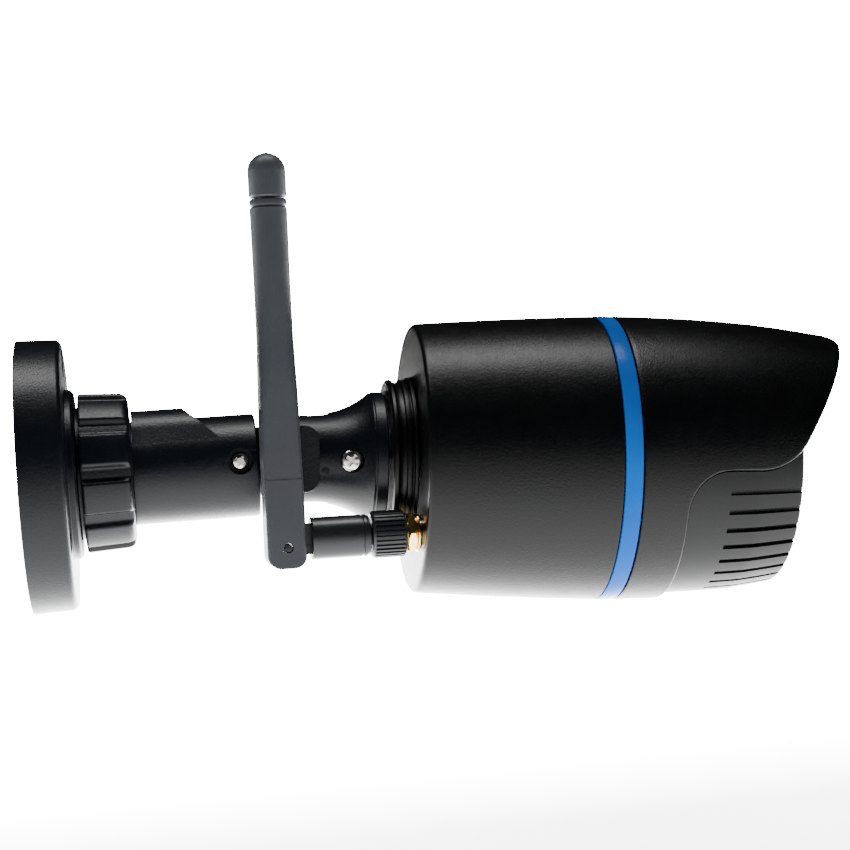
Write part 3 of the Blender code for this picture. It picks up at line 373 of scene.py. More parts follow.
def corner_arc(before, corner, after, radius, steps=5):
    """The arc that rounds one corner of an outline."""
    middle = Vector(corner)
    back = Vector(before) - middle
    ahead = Vector(after) - middle
    room = 0.49 * min(back.length, ahead.length)
    back.normalize()
    ahead.normalize()
    half = math.acos(max(-1.0, min(1.0, back.dot(ahead)))) / 2.0
    if half > math.radians(88.0):
        return [tuple(corner)]
    radius = min(radius, room * math.tan(half))
    centre = middle + (back + ahead).normalized() * radius / math.sin(half)
    first = middle + back * radius / math.tan(half)
    last = middle + ahead * radius / math.tan(half)
    start = math.atan2(first.y - centre.y, first.x - centre.x)
    sweep = math.atan2(last.y - centre.y, last.x - centre.x) - start
    sweep = (sweep + math.pi) % (2.0 * math.pi) - math.pi
    return arc(centre.x, centre.y, radius, math.degrees(start), math.degrees(start + sweep), steps)


def soften(outline, closed, default=0.25):
    """Round an outline's corners. A point is (x, r) or (x, r, its own radius); 0 keeps it sharp."""
    points = []
    count = len(outline)
    for i, entry in enumerate(outline):
        here = entry[:2]
        radius = entry[2] if len(entry) > 2 else default
        end = not closed and i in (0, count - 1)
        if end or radius == 0.0:
            points.append(here)
            continue
        points += corner_arc(outline[i - 1][:2], here, outline[(i + 1) % count][:2], radius)
    return points


def new_piece(name, bm, place, body, slot, node, sharp=32.0, finish=None):
    """Make a mesh a piece on a body, in place of its CAD node, in its slot's finish or another."""
    piece = linked_object(name, moved(bm, place))
    dress(piece, finish or SLOT_FINISH[slot], sharp)
    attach(piece, body)
    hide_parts(node)
    return piece


def dress(piece, finish, sharp=32.0):
    """Give a piece its finish and its shading."""
    piece.data.materials.clear()
    piece.data.materials.append(finish)
    piece.data.shade_smooth()
    piece.data.set_sharp_from_angle(angle=math.radians(sharp))


def turned(outline, steps=160, relief=None, default=0.25):
    """A turned solid about X from (x, r) points; one that starts and ends at r 0 is a solid bar.

    relief(x, r, angle) may return a new radius, for ribs and knurls.
    """
    closed = outline[0][1] > 0.0
    profile = soften(outline, closed, default)
    bm = bmesh.new()
    rings = []
    for x, r in profile:
        if r < 1e-6:
            rings.append([bm.verts.new((x * MM, 0.0, 0.0))])
            continue
        ring = []
        for i in range(steps):
            angle = 2.0 * math.pi * i / steps
            reach = relief(x, r, angle) if relief else r
            ring.append(bm.verts.new((x * MM, reach * MM * math.cos(angle), reach * MM * math.sin(angle))))
        rings.append(ring)
    pairs = list(zip(rings, rings[1:]))
    if closed:
        pairs.append((rings[-1], rings[0]))
    for low, high in pairs:
        join_rings(bm, low, high)
    bmesh.ops.recalc_face_normals(bm, faces=bm.faces)
    return bm


def join_rings(bm, low, high):
    """Faces between two rings of vertices, either of which may be a single point."""
    count = max(len(low), len(high))
    for i in range(count):
        j = (i + 1) % count
        if len(low) == 1:
            bm.faces.new((low[0], high[j], high[i]))
        elif len(high) == 1:
            bm.faces.new((low[i], low[j], high[0]))
        else:
            bm.faces.new((low[i], low[j], high[j], high[i]))


def slab(outline, low, high):
    """A prism of an (x, z) outline between two places on Y."""
    bm = bmesh.new()
    front = [bm.verts.new((x * MM, low * MM, z * MM)) for x, z in outline]
    back = [bm.verts.new((x * MM, high * MM, z * MM)) for x, z in outline]
    join_rings(bm, front, back)
    bm.faces.new(list(reversed(front)))
    bm.faces.new(back)
    bmesh.ops.recalc_face_normals(bm, faces=bm.faces)
    return bm


def block(low, high):
    """A plain box cutter between two corners."""
    outline = [(low[0], low[2]), (high[0], low[2]), (high[0], high[2]), (low[0], high[2])]
    return slab(outline, low[1], high[1])


def moved(bm, matrix):
    """Move a mesh, with the matrix's translation in metres."""
    bmesh.ops.transform(bm, matrix=matrix, verts=bm.verts)
    return bm


X_TO_NEAR = Matrix.Rotation(math.radians(-90.0), 4, "Z")
X_TO_FAR = Matrix.Rotation(math.radians(90.0), 4, "Z")
X_TO_TOP = Matrix.Rotation(math.radians(-90.0), 4, "Y")
CUT = "DIFFERENCE"
JOIN = "UNION"
KEEP = "INTERSECT"


def shifted(x=0.0, y=0.0, z=0.0):
    """A move in millimetres."""
    return Matrix.Translation(Vector((x, y, z)) * MM)


def carve(bm, *cuts):
    """Apply (operation, cutter) pairs to a mesh, and give back the result."""
    target = linked_object("target", bm)
    for operation, cutter in cuts:
        tool = linked_object("tool", cutter)
        modifier = target.modifiers.new("carve", "BOOLEAN")
        modifier.operation = operation
        modifier.object = tool
        modifier.solver = "EXACT"
    bpy.context.view_layer.update()
    graph = bpy.context.evaluated_depsgraph_get()
    mesh = bpy.data.meshes.new_from_object(target.evaluated_get(graph))
    tools = [modifier.object for modifier in target.modifiers]
    for obj in tools + [target]:
        bpy.data.objects.remove(obj, do_unlink=True)
    result = bmesh.new()
    result.from_mesh(mesh)
    bpy.data.meshes.remove(mesh)
    bmesh.ops.remove_doubles(result, verts=result.verts, dist=0.0000005)
    return result


def linked_object(name, bm):
    """An object in the scene that takes over a mesh under work."""
    mesh = bpy.data.meshes.new(name)
    bm.to_mesh(mesh)
    bm.free()
    obj = bpy.data.objects.new(name, mesh)
    bpy.context.scene.collection.objects.link(obj)
    return obj


def bevelled(piece, width, angle, segments=3):
    """Round a piece's sharp edges."""
    modifier = piece.modifiers.new("edges", "BEVEL")
    modifier.width = width * MM
    modifier.segments = segments
    modifier.limit_method = "ANGLE"
    modifier.angle_limit = math.radians(angle)
    modifier.harden_normals = True
    return piece


def even_normals(piece):
    """Weight a carved piece's normals by area, so that its flats shade flat."""
    piece.modifiers.new("normals", "WEIGHTED_NORMAL").keep_sharp = True


def rounded_rectangle(width, height, radius, steps=6, centre=(0.0, 0.0)):
    """A rectangle's outline with round corners."""
    x = width / 2.0 - radius
    y = height / 2.0 - radius
    points = []
    for sx, sy, start in ((1, 1, 0), (-1, 1, 90), (-1, -1, 180), (1, -1, 270)):
        points += arc(centre[0] + sx * x, centre[1] + sy * y, radius, start, start + 90, steps)
    return points


def smooth_step(value):
    """Ease from 0 to 1."""
    value = max(0.0, min(1.0, value))
    return value * value * (3.0 - 2.0 * value)


# ---------------------------------------------------------------- shared outlines
SHELL_STATIONS = ((26.25, 29.9), (37.5, 30.6), (46.7, 31.1), (58.2, 31.6), (71.0, 31.97),
                  (81.5, 31.8), (93.2, 31.3), (102.7, 30.55), (112.3, 29.4), (124.3, 27.5),
                  (130.0, 26.4))
WALL = 2.2
HOOD_BACK = 71.85
SEAM_X = 82.05
SEAM_Z = -2.3
SEAM_LOW_RADIUS = 9.2
SEAM_HIGH_RADIUS = 12.6
HOOD_CORNER_X = 104.75
HOOD_RAKE = math.radians(32.0)
HOOD_NOSE_RADIUS = 1.6
HOOD_TOP_Z = 27.45
HOOD_TOP_SLOPE = 0.158
BARREL_MEAN_R = 30.0
CHIN_FRONT = 108.05
CHIN_STEP = 1.1
CHIN_TAPER = 0.06
CHIN_TAPER_START = 98.0
GROOVE_START = 91.35
GROOVE_PITCH = math.radians(8.5)
GROOVES_EACH_SIDE = 9
GROOVE_HALF = 0.6
GROOVE_DEPTH = 0.85


def shell_radius(x):
    """The body's outer radius: a smooth barrel through its stations."""
    stations = SHELL_STATIONS
    if x <= stations[0][0]:
        return stations[0][1]
    for i in range(len(stations) - 1):
        (x0, r0), (x1, r1) = stations[i:i + 2]
        if x <= x1:
            slope0 = station_slope(i)
            slope1 = station_slope(i + 1)
            span_x = x1 - x0
            t = (x - x0) / span_x
            return ((1 + 2 * t) * (1 - t) ** 2 * r0 + t * (1 - t) ** 2 * span_x * slope0
                    + t * t * (3 - 2 * t) * r1 + t * t * (t - 1) * span_x * slope1)
    return stations[-1][1]


def station_slope(i):
    """The barrel's slope at one of its stations."""
    last = len(SHELL_STATIONS) - 1
    low = SHELL_STATIONS[max(0, i - 1)]
    high = SHELL_STATIONS[min(last, i + 1)]
    return (high[1] - low[1]) / (high[0] - low[0])


def chin_radius(x):
    """The chin's radius, a step below the hood's and drawn in at its front."""
    return shell_radius(x) - CHIN_STEP - CHIN_TAPER * max(0.0, x - CHIN_TAPER_START)


def samples(low, high, count):
    """Evenly spaced numbers, both ends included."""
    return [low + (high - low) * i / count for i in range(count + 1)]


def seam_run(shift=0.0, top=45.0):
    """The seam in side view, moved away from the hood by shift: chin, shoulder and raked edge."""
    rise_x = HOOD_CORNER_X + shift + (top - SEAM_Z) * math.tan(HOOD_RAKE)
    run = [(SEAM_X + shift, -45.0), (SEAM_X + shift, SEAM_Z - shift), (HOOD_CORNER_X + shift, SEAM_Z - shift),
           (rise_x, top)]
    points = [run[0]]
    points += corner_arc(*run[0:3], SEAM_LOW_RADIUS - shift, 16)
    points += corner_arc(*run[1:4], SEAM_HIGH_RADIUS + shift, 16)
    points.append(run[-1])
    return points


# ---------------------------------------------------------------- wall plate and lock ring
SCREW_HOLE_ANGLES = (90.0, 210.0, 330.0)
SCREW_HOLE_CIRCLE_R = 24.9


def make_wall_plate():
    """A turned plate, hollow behind, with a stepped collar and three countersunk screw holes."""
    outline = [(0.0, 29.7, 0.3), (9.6, 29.4, 1.3), (9.6, 18.4, 0.3), (10.9, 18.4, 0.35),
               (11.5, 17.6, 0.4), (11.5, 14.4, 0.2), (16.0, 14.4, 0.3), (16.0, 12.3, 0.2),
               (11.5, 12.3, 0.2), (11.5, 9.0, 0.3), (6.0, 9.0, 0.3), (6.0, 21.0, 0.6), (0.0, 21.0, 0.4)]
    plate = turned(outline, 240)
    cuts = []
    for degrees in SCREW_HOLE_ANGLES:
        angle = math.radians(degrees)
        hole = turned([(20.0, 0.0), (20.0, 3.6), (8.4, 3.6), (6.8, 2.2), (-1.0, 2.2), (-1.0, 0.0)],
                      48, default=0.0)
        place = shifted(0.0, SCREW_HOLE_CIRCLE_R * math.cos(angle), SCREW_HOLE_CIRCLE_R * math.sin(angle))
        cuts.append((CUT, moved(hole, place)))
    new_piece("plate_moulding", carve(plate, *cuts), ROW, "wall_base", "black_bracket", "wall_plate")


RING_RIBS = 10
RIB_HEIGHT = 1.12
RING_BACK = 12.3
RING_FRONT = 23.1


def ring_ribs(x, r, angle):
    """Broad ribs round the lock ring, with rounded front corners and steep sides."""
    if r < 15.25 or x > 22.9:
        return r
    pitch = 2.0 * math.pi / RING_RIBS
    place = abs(angle / pitch % 1.0 - 0.5) * 2.0
    side = 1.0 - smooth_step((place - 0.58) / 0.24)
    nose = max(0.0, (x - 20.9) / 2.0)
    height = RIB_HEIGHT * math.sqrt(max(0.0, 1.0 - nose * nose))
    tail = smooth_step((x - RING_BACK) / 0.35)
    return r + height * side * (0.75 + 0.25 * tail)


def make_lock_ring():
    outline = [(RING_BACK, 16.2, 0.2)]
    outline += [(x, 16.25 - 0.05 * (x - RING_BACK), 0.0) for x in samples(12.8, 22.0, 30)]
    outline += [(x, r, 0.0) for x, r in arc(22.1, 14.75, 1.0, 90, 0, 8)]
    outline += [(RING_FRONT, 11.9, 0.4), (20.1, 11.9, 0.2), (20.1, 14.8, 0.2), (RING_BACK, 14.8, 0.3)]
    new_piece("lock_ring_moulding", turned(outline, 480, ring_ribs), ROW, "lock_ring",
              "black_bracket", "lock_ring")


# ---------------------------------------------------------------- the two arms
SLEEVE_DROP = 0.78
ARM_R = 11.3
ARM_END = 50.15
ELBOW_X = ELBOW.x / MM
PAD_TOP = 13.6
PAD_TOP_R = 8.6
TONGUE_R = 7.5
LOWER_SCREW = (46.1, 0.4)
LOWER_HEAD_R = 1.9
LOWER_HEAD_TOP = 10.4
UPPER_R = 9.85
UPPER_SCREW = (12.1, -0.35)
UPPER_HEAD_R = 2.35
UPPER_HEAD_TOP = 11.5
SHANK_R = 1.5
THREAD_R = 1.05
THREAD_DEPTH = 0.12
THREAD_PITCH = 0.8
SLOT_HALF = 2.5
HALF_GAP = 0.15


def pan_screw(head_r, top, body, node, place, name):
    """A nickel cross-recessed screw: domed head, cross recess, threaded shank."""
    outline = [(-6.7, 0.0)]
    outline += [(x, THREAD_R + THREAD_DEPTH * math.sin(2.0 * math.pi * x / THREAD_PITCH), 0.0)
                for x in samples(-6.2, 7.0, 66)]
    outline += [(top - 1.5, 1.1, 0.0), (top - 1.5, head_r, 0.2)]
    outline += [(top - 0.75 * (1.0 - math.cos(t)), head_r * math.sin(t), 0.0)
                for t in samples(math.pi / 2.0, 0.0, 12)]
    head = moved(turned(outline, 72), X_TO_NEAR)
    cuts = []
    for degrees in (35.0, 125.0):
        slot = block((-head_r * 0.62, -top - 1.0, -head_r * 0.16),
                     (head_r * 0.62, -top + 1.25, head_r * 0.16))
        cuts.append((CUT, moved(slot, Matrix.Rotation(math.radians(degrees), 4, "Y"))))
    pit = turned([(-top - 1.0, 0.0), (-top - 1.0, head_r * 0.42), (-top + 0.95, head_r * 0.2),
                  (-top + 1.2, 0.0)], 24, default=0.0)
    cuts.append((CUT, moved(pit, X_TO_FAR)))
    return new_piece(name, carve(head, *cuts), place, body, "steel", node, 28.0)


def rod_across(radius, low, high, steps=64):
    """A round rod along Y, for cuts across the arms."""
    bm = turned([(low, 0.0), (low, radius), (high, radius), (high, 0.0)], steps, default=0.0)
    return moved(bm, X_TO_FAR)


def pad_section():
    """The raised pad across the arm: a smaller round on top, with sides that run tangent to the arm.

    The points are (to the near side, up), as a slab that is then turned along X takes them.
    """
    rise = PAD_TOP - PAD_TOP_R
    inner = ARM_R - 0.02
    tangent = math.degrees(math.asin((inner - PAD_TOP_R) / rise))
    points = arc(0.0, rise, PAD_TOP_R, tangent, 180.0 - tangent, 40)
    points += [(-inner * math.cos(math.radians(tangent)), inner * math.sin(math.radians(tangent))),
               (-7.0, 3.0), (7.0, 3.0),
               (inner * math.cos(math.radians(tangent)), inner * math.sin(math.radians(tangent)))]
    return points


def make_lower_arm():
    """Two halves of a sleeve with a root, a raised pad, a hinge tongue and a screw through both."""
    for name, near in (("lower_arm_near", True), ("lower_arm_far", False)):
        sleeve = turned([(23.1, 0.0), (23.1, ARM_R), (23.4, ARM_R, 0.0), (ARM_END, ARM_R, 0.55),
                         (ARM_END, 0.0)], 200)
        moved(sleeve, shifted(0.0, 0.0, -SLEEVE_DROP))
        root = turned([(12.0, 0.0), (12.0, 11.2), (16.3, 11.3), (16.3, 13.9), (18.7, 13.9),
                       (18.7, 11.3), (23.3, 11.3), (23.3, 0.0)], 128)
        pad_side = soften([(23.45, 5.2, 0.0), (43.8, 5.2, 0.0), (37.8, 10.7, 0.6), (34.5, PAD_TOP, 0.5),
                           (23.45, PAD_TOP, 0.0)], True)
        across = moved(slab(pad_section(), 20.0, 46.0), X_TO_NEAR)
        pad = carve(slab(pad_side, -12.0, 12.0), (KEEP, across))
        moved(pad, shifted(0.0, 0.0, -SLEEVE_DROP))
        tongue_side = arc(ELBOW_X, 0.0, TONGUE_R, -90, 90, 40)
        tongue_side += [(ARM_END - 2.0, TONGUE_R), (ARM_END - 2.0, -TONGUE_R)]
        bore = turned([(0.0, 0.0), (0.0, 8.6), (43.5, 8.6), (43.5, 0.0)], 96, default=0.0)
        recess_at = shifted(LOWER_SCREW[0], 0.0, LOWER_SCREW[1])
        recess = moved(rod_across(2.8, -20.0, -8.0), recess_at)
        shank = moved(rod_across(SHANK_R, -20.0, 7.0, 32), recess_at)
        pivot = moved(rod_across(3.7, -20.0, 20.0), shifted(ELBOW_X, 0.0, 0.0))
        side = half_block(near)
        mesh = carve(sleeve, (JOIN, root), (JOIN, pad), (CUT, bore),
                     (JOIN, slab(tongue_side, -2.2, 2.2)), (CUT, pivot),
                     (CUT, recess), (CUT, shank), (CUT, side))
        piece = new_piece(name + "_shell", mesh, ROW, "lower_arm", "black_bracket", name, 25.0)
        even_normals(piece)
    place = ROW @ shifted(LOWER_SCREW[0], 0.0, LOWER_SCREW[1])
    pan_screw(LOWER_HEAD_R, LOWER_HEAD_TOP, "lower_arm", "lower_arm_screw", place, "lower_arm_phillips")


def half_block(near):
    """A cutter that leaves the near (-Y) or far (+Y) half of an arm."""
    if near:
        return block((-40.0, -HALF_GAP, -40.0), (90.0, 40.0, 40.0))
    return block((-40.0, -40.0, -40.0), (90.0, HALF_GAP, 40.0))


def make_upper_arm():
    """Two halves of a forked arm that flares to its collar, with a seat for the elbow's cap."""
    flare = []
    for x in samples(4.5, 16.75, 40):
        rise = 18.4 - math.sqrt(18.4 ** 2 - (x - 4.5) ** 2)
        flare.append((x, UPPER_R + rise, 0.0))
    outline = [(-9.0, 0.0), (-9.0, UPPER_R, 0.0)] + flare
    outline += [(16.95, 14.45, 0.1), (17.2, 14.45, 0.1), (17.4, 14.75, 0.2), (19.85, 14.75, 0.45),
                (19.85, 5.3, 0.2), (16.5, 5.3, 0.2), (16.5, 6.6, 0.2), (14.2, 6.6, 0.2), (14.2, 0.0)]
    end_side = arc(0.0, 0.0, 7.7, 121, 239, 40)
    end_side += [(1.4, -UPPER_R), (1.4, -18.0), (25.0, -18.0), (25.0, 18.0), (1.4, 18.0), (1.4, UPPER_R)]
    for name, near in (("upper_arm_near", True), ("upper_arm_far", False)):
        arm = turned(outline, 200)
        seat_side = rounded_rectangle(10.3, 14.6, 3.0)
        seat = slab(seat_side, -20.0, -6.6) if near else slab(rounded_rectangle(8.6, 8.6, 1.5), 6.4, 20.0)
        recess_at = shifted(UPPER_SCREW[0], 0.0, UPPER_SCREW[1])
        recess = moved(rod_across(2.6, -20.0, -9.4), recess_at)
        shank = moved(rod_across(SHANK_R, -20.0, 7.0, 32), recess_at)
        dimple = moved(rod_across(0.9, -20.0, -9.35, 32), shifted(6.4, 0.0, -2.5))
        mesh = carve(arm, (KEEP, slab(end_side, -20.0, 20.0)),
                     (CUT, block((-15.0, -SLOT_HALF, -20.0), (7.9, SLOT_HALF, 20.0))),
                     (CUT, rod_across(2.8, -20.0, 20.0)), (CUT, seat),
                     (CUT, recess), (CUT, shank), (CUT, dimple),
                     (CUT, half_block(near)))
        piece = new_piece(name + "_shell", mesh, BODY, "upper_arm", "black_bracket", name, 25.0)
        even_normals(piece)
    place = BODY @ shifted(UPPER_SCREW[0], 0.0, UPPER_SCREW[1])
    pan_screw(UPPER_HEAD_R, UPPER_HEAD_TOP, "upper_arm", "upper_arm_screw", place, "upper_arm_phillips")


def make_elbow_cap():
    cap = slab(rounded_rectangle(9.9, 14.2, 3.0, 10), -12.0, -6.9)
    hollow = rod_across(4.4, -10.0, 0.0)
    piece = new_piece("elbow_cap_moulding", carve(cap, (CUT, hollow)), BODY, "upper_arm",
                      "black_bracket", "elbow_cap")
    bevelled(piece, 0.8, 60.0, 4)


def make_neck_boot():
    outline = [(20.45, 5.7), (20.45, 16.8, 0.3), (20.85, 17.5, 0.4), (21.6, 17.55, 0.45), (21.95, 17.0, 0.3)]
    outline += [(x, 16.85 + 0.3 * (x - 22.7) ** 2, 0.0) for x in samples(22.1, 23.3, 10)]
    outline += [(23.55, 17.5, 0.25), (24.55, 17.5, 0.25), (24.65, 16.9, 0.08), (24.95, 16.9, 0.08),
                (25.05, 17.9, 0.2), (25.95, 17.9, 0.25), (25.95, 5.7)]
    new_piece("neck_boot_moulding", turned(outline, 200), BODY, "camera", "black_shell", "neck_boot")


# ---------------------------------------------------------------- camera housing
def make_rear_housing():
    outer = [(x, shell_radius(x), 0.0) for x in samples(28.7, 67.1, 48)]
    inner = [(x, shell_radius(x) - WALL, 0.0) for x in samples(62.0, 30.8, 20)]
    outline = [(26.25, 5.7, 0.2), (26.25, 29.9, 2.5)] + outer
    outline += [(67.45, shell_radius(67.45), 0.25), (67.45, 29.9, 0.1), (70.0, 29.9, 0.2), (70.0, 28.2, 0.2),
                (62.6, 28.2, 0.0)] + inner + [(28.75, 26.6, 0.8), (28.75, 5.7, 0.2)]
    shell = turned(outline, 240)
    hole = turned([(-6.0, 0.0), (-6.0, 3.6), (12.0, 3.6), (12.0, 0.0)], 48, default=0.0)
    moved(hole, BODY.inverted() @ JACK)
    new_piece("rear_housing_shell", carve(shell, (CUT, hole)), BODY, "camera",
              "black_shell", "rear_housing")


def make_trim_ring():
    outline = [(67.75, 30.2, 0.1), (67.75, 31.97, 0.3), (71.55, 31.97, 0.3), (71.55, 30.2, 0.1)]
    new_piece("trim_band", turned(outline, 240), BODY, "camera", "blue_trim", "trim_ring")


def hood_edge():
    """The hood's front edge as (x, angle from straight down) points on one side, evenly spaced."""
    top_x = HOOD_CORNER_X + (HOOD_TOP_Z - SEAM_Z) * math.tan(HOOD_RAKE)
    run = [(SEAM_X, -45.0), (SEAM_X, SEAM_Z), (HOOD_CORNER_X, SEAM_Z), (top_x, HOOD_TOP_Z),
           (top_x - 20.0, HOOD_TOP_Z + 20.0 * HOOD_TOP_SLOPE)]
    side = [(SEAM_X, -shell_radius(SEAM_X))]
    side += [(SEAM_X, z) for z in samples(-31.5, SEAM_Z - SEAM_LOW_RADIUS, 60)]
    side += corner_arc(*run[0:3], SEAM_LOW_RADIUS, 48)
    side += corner_arc(*run[1:4], SEAM_HIGH_RADIUS, 48)
    nose = corner_arc(*run[2:5], HOOD_NOSE_RADIUS, 48)
    start = Vector(side[-1])
    end = Vector(nose[0])
    side += [tuple(start.lerp(end, t)) for t in samples(0.0, 1.0, 60)[1:-1]]
    side += nose
    edge = []
    for x, z in side:
        if abs(z) < shell_radius(x):
            edge.append((x, math.acos(-z / shell_radius(x))))
        elif z < 0.0 and not edge:
            edge.append((x, 0.0))
    edge.append((edge[-1][0], math.pi))
    return spaced(edge, 260)


def spaced(edge, count):
    """Points evenly spaced along a run of (x, angle) points on the barrel."""
    lengths = [0.0]
    for (x0, a0), (x1, a1) in zip(edge, edge[1:]):
        lengths.append(lengths[-1] + math.hypot(x1 - x0, (a1 - a0) * BARREL_MEAN_R))
    result = []
    index = 0
    for target in samples(0.0, lengths[-1], count):
        while index < len(edge) - 2 and lengths[index + 1] < target:
            index += 1
        gap = lengths[index + 1] - lengths[index]
        t = (target - lengths[index]) / gap if gap > 0.0 else 0.0
        (x0, a0), (x1, a1) = edge[index:index + 2]
        result.append((x0 + (x1 - x0) * t, a0 + (a1 - a0) * t))
    return result


def drawn_back(edge, distance):
    """The edge's points moved back into the hood by a distance in mm."""
    result = []
    for i, (x, angle) in enumerate(edge):
        x0, a0 = edge[max(0, i - 1)]
        x1, a1 = edge[min(len(edge) - 1, i + 1)]
        along = Vector((x1 - x0, (a1 - a0) * BARREL_MEAN_R))
        if i in (0, len(edge) - 1):
            along = Vector((0.0, 1.0))
        along.normalize()
        result.append((x - along.y * distance, angle + along.x * distance / BARREL_MEAN_R))
    return result


def make_hood():
    """A shell of revolution whose columns end square on the seam's edge, which is rounded over."""
    edge = hood_edge()
    count = len(edge)
    back_angles = [0.5 * angle + 0.5 * math.pi * i / (count - 1) for i, (_, angle) in enumerate(edge)]
    back_angles[0] = 0.0
    back_angles[-1] = math.pi
    rows = []

    def add_row(points, sink):
        rows.append([(x, angle, shell_radius(x) - sink) for x, angle in points])

    round_over = 0.42
    back = [(HOOD_BACK, angle) for angle in back_angles]
    add_row(back, 0.25)
    add_row([(HOOD_BACK + 0.07, angle) for angle in back_angles], 0.07)
    first = [(HOOD_BACK + 0.25, angle) for angle in back_angles]
    last = drawn_back(edge, round_over)
    for t in samples(0.0, 1.0, 56):
        add_row([(p[0] + (q[0] - p[0]) * t, p[1] + (q[1] - p[1]) * t) for p, q in zip(first, last)], 0.0)
    for turn in (25.0, 50.0, 70.0, 90.0):
        angle = math.radians(turn)
        add_row(drawn_back(edge, round_over * (1.0 - math.sin(angle))), round_over * (1.0 - math.cos(angle)))
    add_row(edge, WALL - 0.25)
    add_row(drawn_back(edge, 0.25), WALL)
    for t in samples(1.0, 0.0, 24):
        add_row([(p[0] + (q[0] - p[0]) * t, p[1] + (q[1] - p[1]) * t)
                 for p, q in zip(back, drawn_back(edge, 0.6))], WALL)
    bm = bmesh.new()
    rings = []
    for row in rows:
        ring = [bm.verts.new(on_barrel(x, angle, r)) for x, angle, r in row]
        ring += [bm.verts.new(on_barrel(x, -angle, r)) for x, angle, r in reversed(row[1:-1])]
        rings.append(ring)
    for low, high in zip(rings, rings[1:]):
        join_rings(bm, low, high)
    join_rings(bm, rings[-1], rings[0])
    bmesh.ops.recalc_face_normals(bm, faces=bm.faces)
    new_piece("hood_shell", bm, BODY, "camera", "black_shell", "front_hood", 40.0)


def on_barrel(x, angle, r):
    """A point in metres at an angle from straight down, the near side first."""
    return (x * MM, -r * MM * math.sin(angle), -r * MM * math.cos(angle))


def make_chin():
    front_r = chin_radius(CHIN_FRONT)
    outline = [(82.2, 26.2, 0.0)]
    outline += [(x, chin_radius(x), 0.0) for x in samples(82.2, CHIN_FRONT - 1.1, 40)]
    outline += [(CHIN_FRONT, front_r, 0.9), (CHIN_FRONT, 26.2, 0.3)]
    skin = turned(outline, 300)
    keep = slab(seam_run(0.3) + [(160.0, 45.0), (160.0, -45.0)], -45.0, 45.0)
    above = block((70.0, -40.0, SEAM_Z + 6.0), (130.0, 40.0, 40.0))
    lip_x = CHIN_FRONT - 0.02
    ring = turned([(88.0, 26.2, 0.2), (88.0, 27.2, 0.2), (lip_x, 27.2, 0.3), (lip_x, 26.2, 0.3)], 240)
    cuts = [(KEEP, keep), (CUT, above), (JOIN, ring)]
    for index in range(-GROOVES_EACH_SIDE, GROOVES_EACH_SIDE + 1):
        cuts.append((CUT, groove_cutter(GROOVE_PITCH * index)))
    piece = new_piece("chin_moulding", carve(skin, *cuts), BODY, "camera", "chin_plastic",
                      "chin_cover", 25.0)
    even_normals(piece)


def groove_cutter(angle):
    """A straight groove along the chin at an angle from straight down, equally deep all along."""
    near_r = chin_radius(GROOVE_START)
    far_r = chin_radius(CHIN_FRONT)
    far_x = CHIN_FRONT + 2.0
    slope = (far_r - near_r) / (CHIN_FRONT - GROOVE_START)
    floor_r = near_r - GROOVE_DEPTH
    outline = [(GROOVE_START, -floor_r), (GROOVE_START + 0.25, -floor_r),
               (far_x, -(floor_r + slope * (far_x - GROOVE_START))), (far_x, -36.0), (GROOVE_START, -36.0)]
    return moved(slab(outline, -GROOVE_HALF, GROOVE_HALF), Matrix.Rotation(-angle, 4, "X"))


def make_front_face():
    bezel = [(94.0, 24.9, 0.2), (94.0, 25.9, 0.2), (107.7, 25.9, 0.5), (107.7, 24.6, 0.3),
             (106.9, 22.9, 0.25), (106.3, 22.8, 0.1), (106.3, 24.9, 0.0)]
    new_piece("bezel_ring", turned(bezel, 200), BODY, "camera", "black_shell", "front_bezel")
    glass = [(104.2, 0.0), (104.2, 24.6, 0.15), (106.0, 24.6, 0.15), (106.0, 0.0)]
    new_piece("front_glass", turned(glass, 160), BODY, "camera", "window", "window_glass")
    barrel = [(88.5, 0.0), (88.5, 6.0, 0.1)]
    barrel += [(x, 6.0 - 0.12 * (1.0 + math.sin(2.0 * math.pi * x / 0.5)) / 2.0, 0.0)
               for x in samples(88.8, 96.6, 80)]
    barrel += [(96.9, 6.0, 0.0), (96.9, 7.0, 0.15), (103.0, 7.0, 0.25), (103.0, 6.2, 0.1), (102.7, 6.1, 0.1),
               (102.7, 5.6, 0.1), (102.2, 5.4, 0.1), (102.0, 4.6, 0.1), (99.0, 4.6, 0.1), (99.0, 0.0)]
    new_piece("lens_barrel_turned", turned(barrel, 120, barrel_knurl), BODY, "camera", "black_shell",
              "lens_barrel")
    dome = [(99.3, 0.0), (99.3, 4.35, 0.1), (100.9, 4.35, 0.1)]
    dome += [(96.85 + 5.75 * math.cos(t), 5.75 * math.sin(t), 0.0) for t in samples(0.83, 0.0, 16)]
    new_piece("front_element", turned(dome, 96), BODY, "camera", "lens_glass", "lens_element")
    holder = [(85.9, 6.3, 0.1), (85.9, 10.0, 0.3), (87.6, 10.0, 0.3), (87.6, 8.0, 0.4), (94.5, 8.0, 0.4),
              (94.5, 6.3, 0.1)]
    new_piece("lens_holder_moulding", turned(holder, 96), BODY, "camera", "black_shell", "lens_holder")


def barrel_knurl(x, r, angle):
    """Fine grip notches round the lens barrel's head."""
    if 97.3 < x < 102.5 and r > 6.9:
        return r - 0.18 * smooth_step(2.0 * math.sin(36.0 * angle))
    return r


LED_PLACES = 10
LED_CIRCLE_R = 17.5


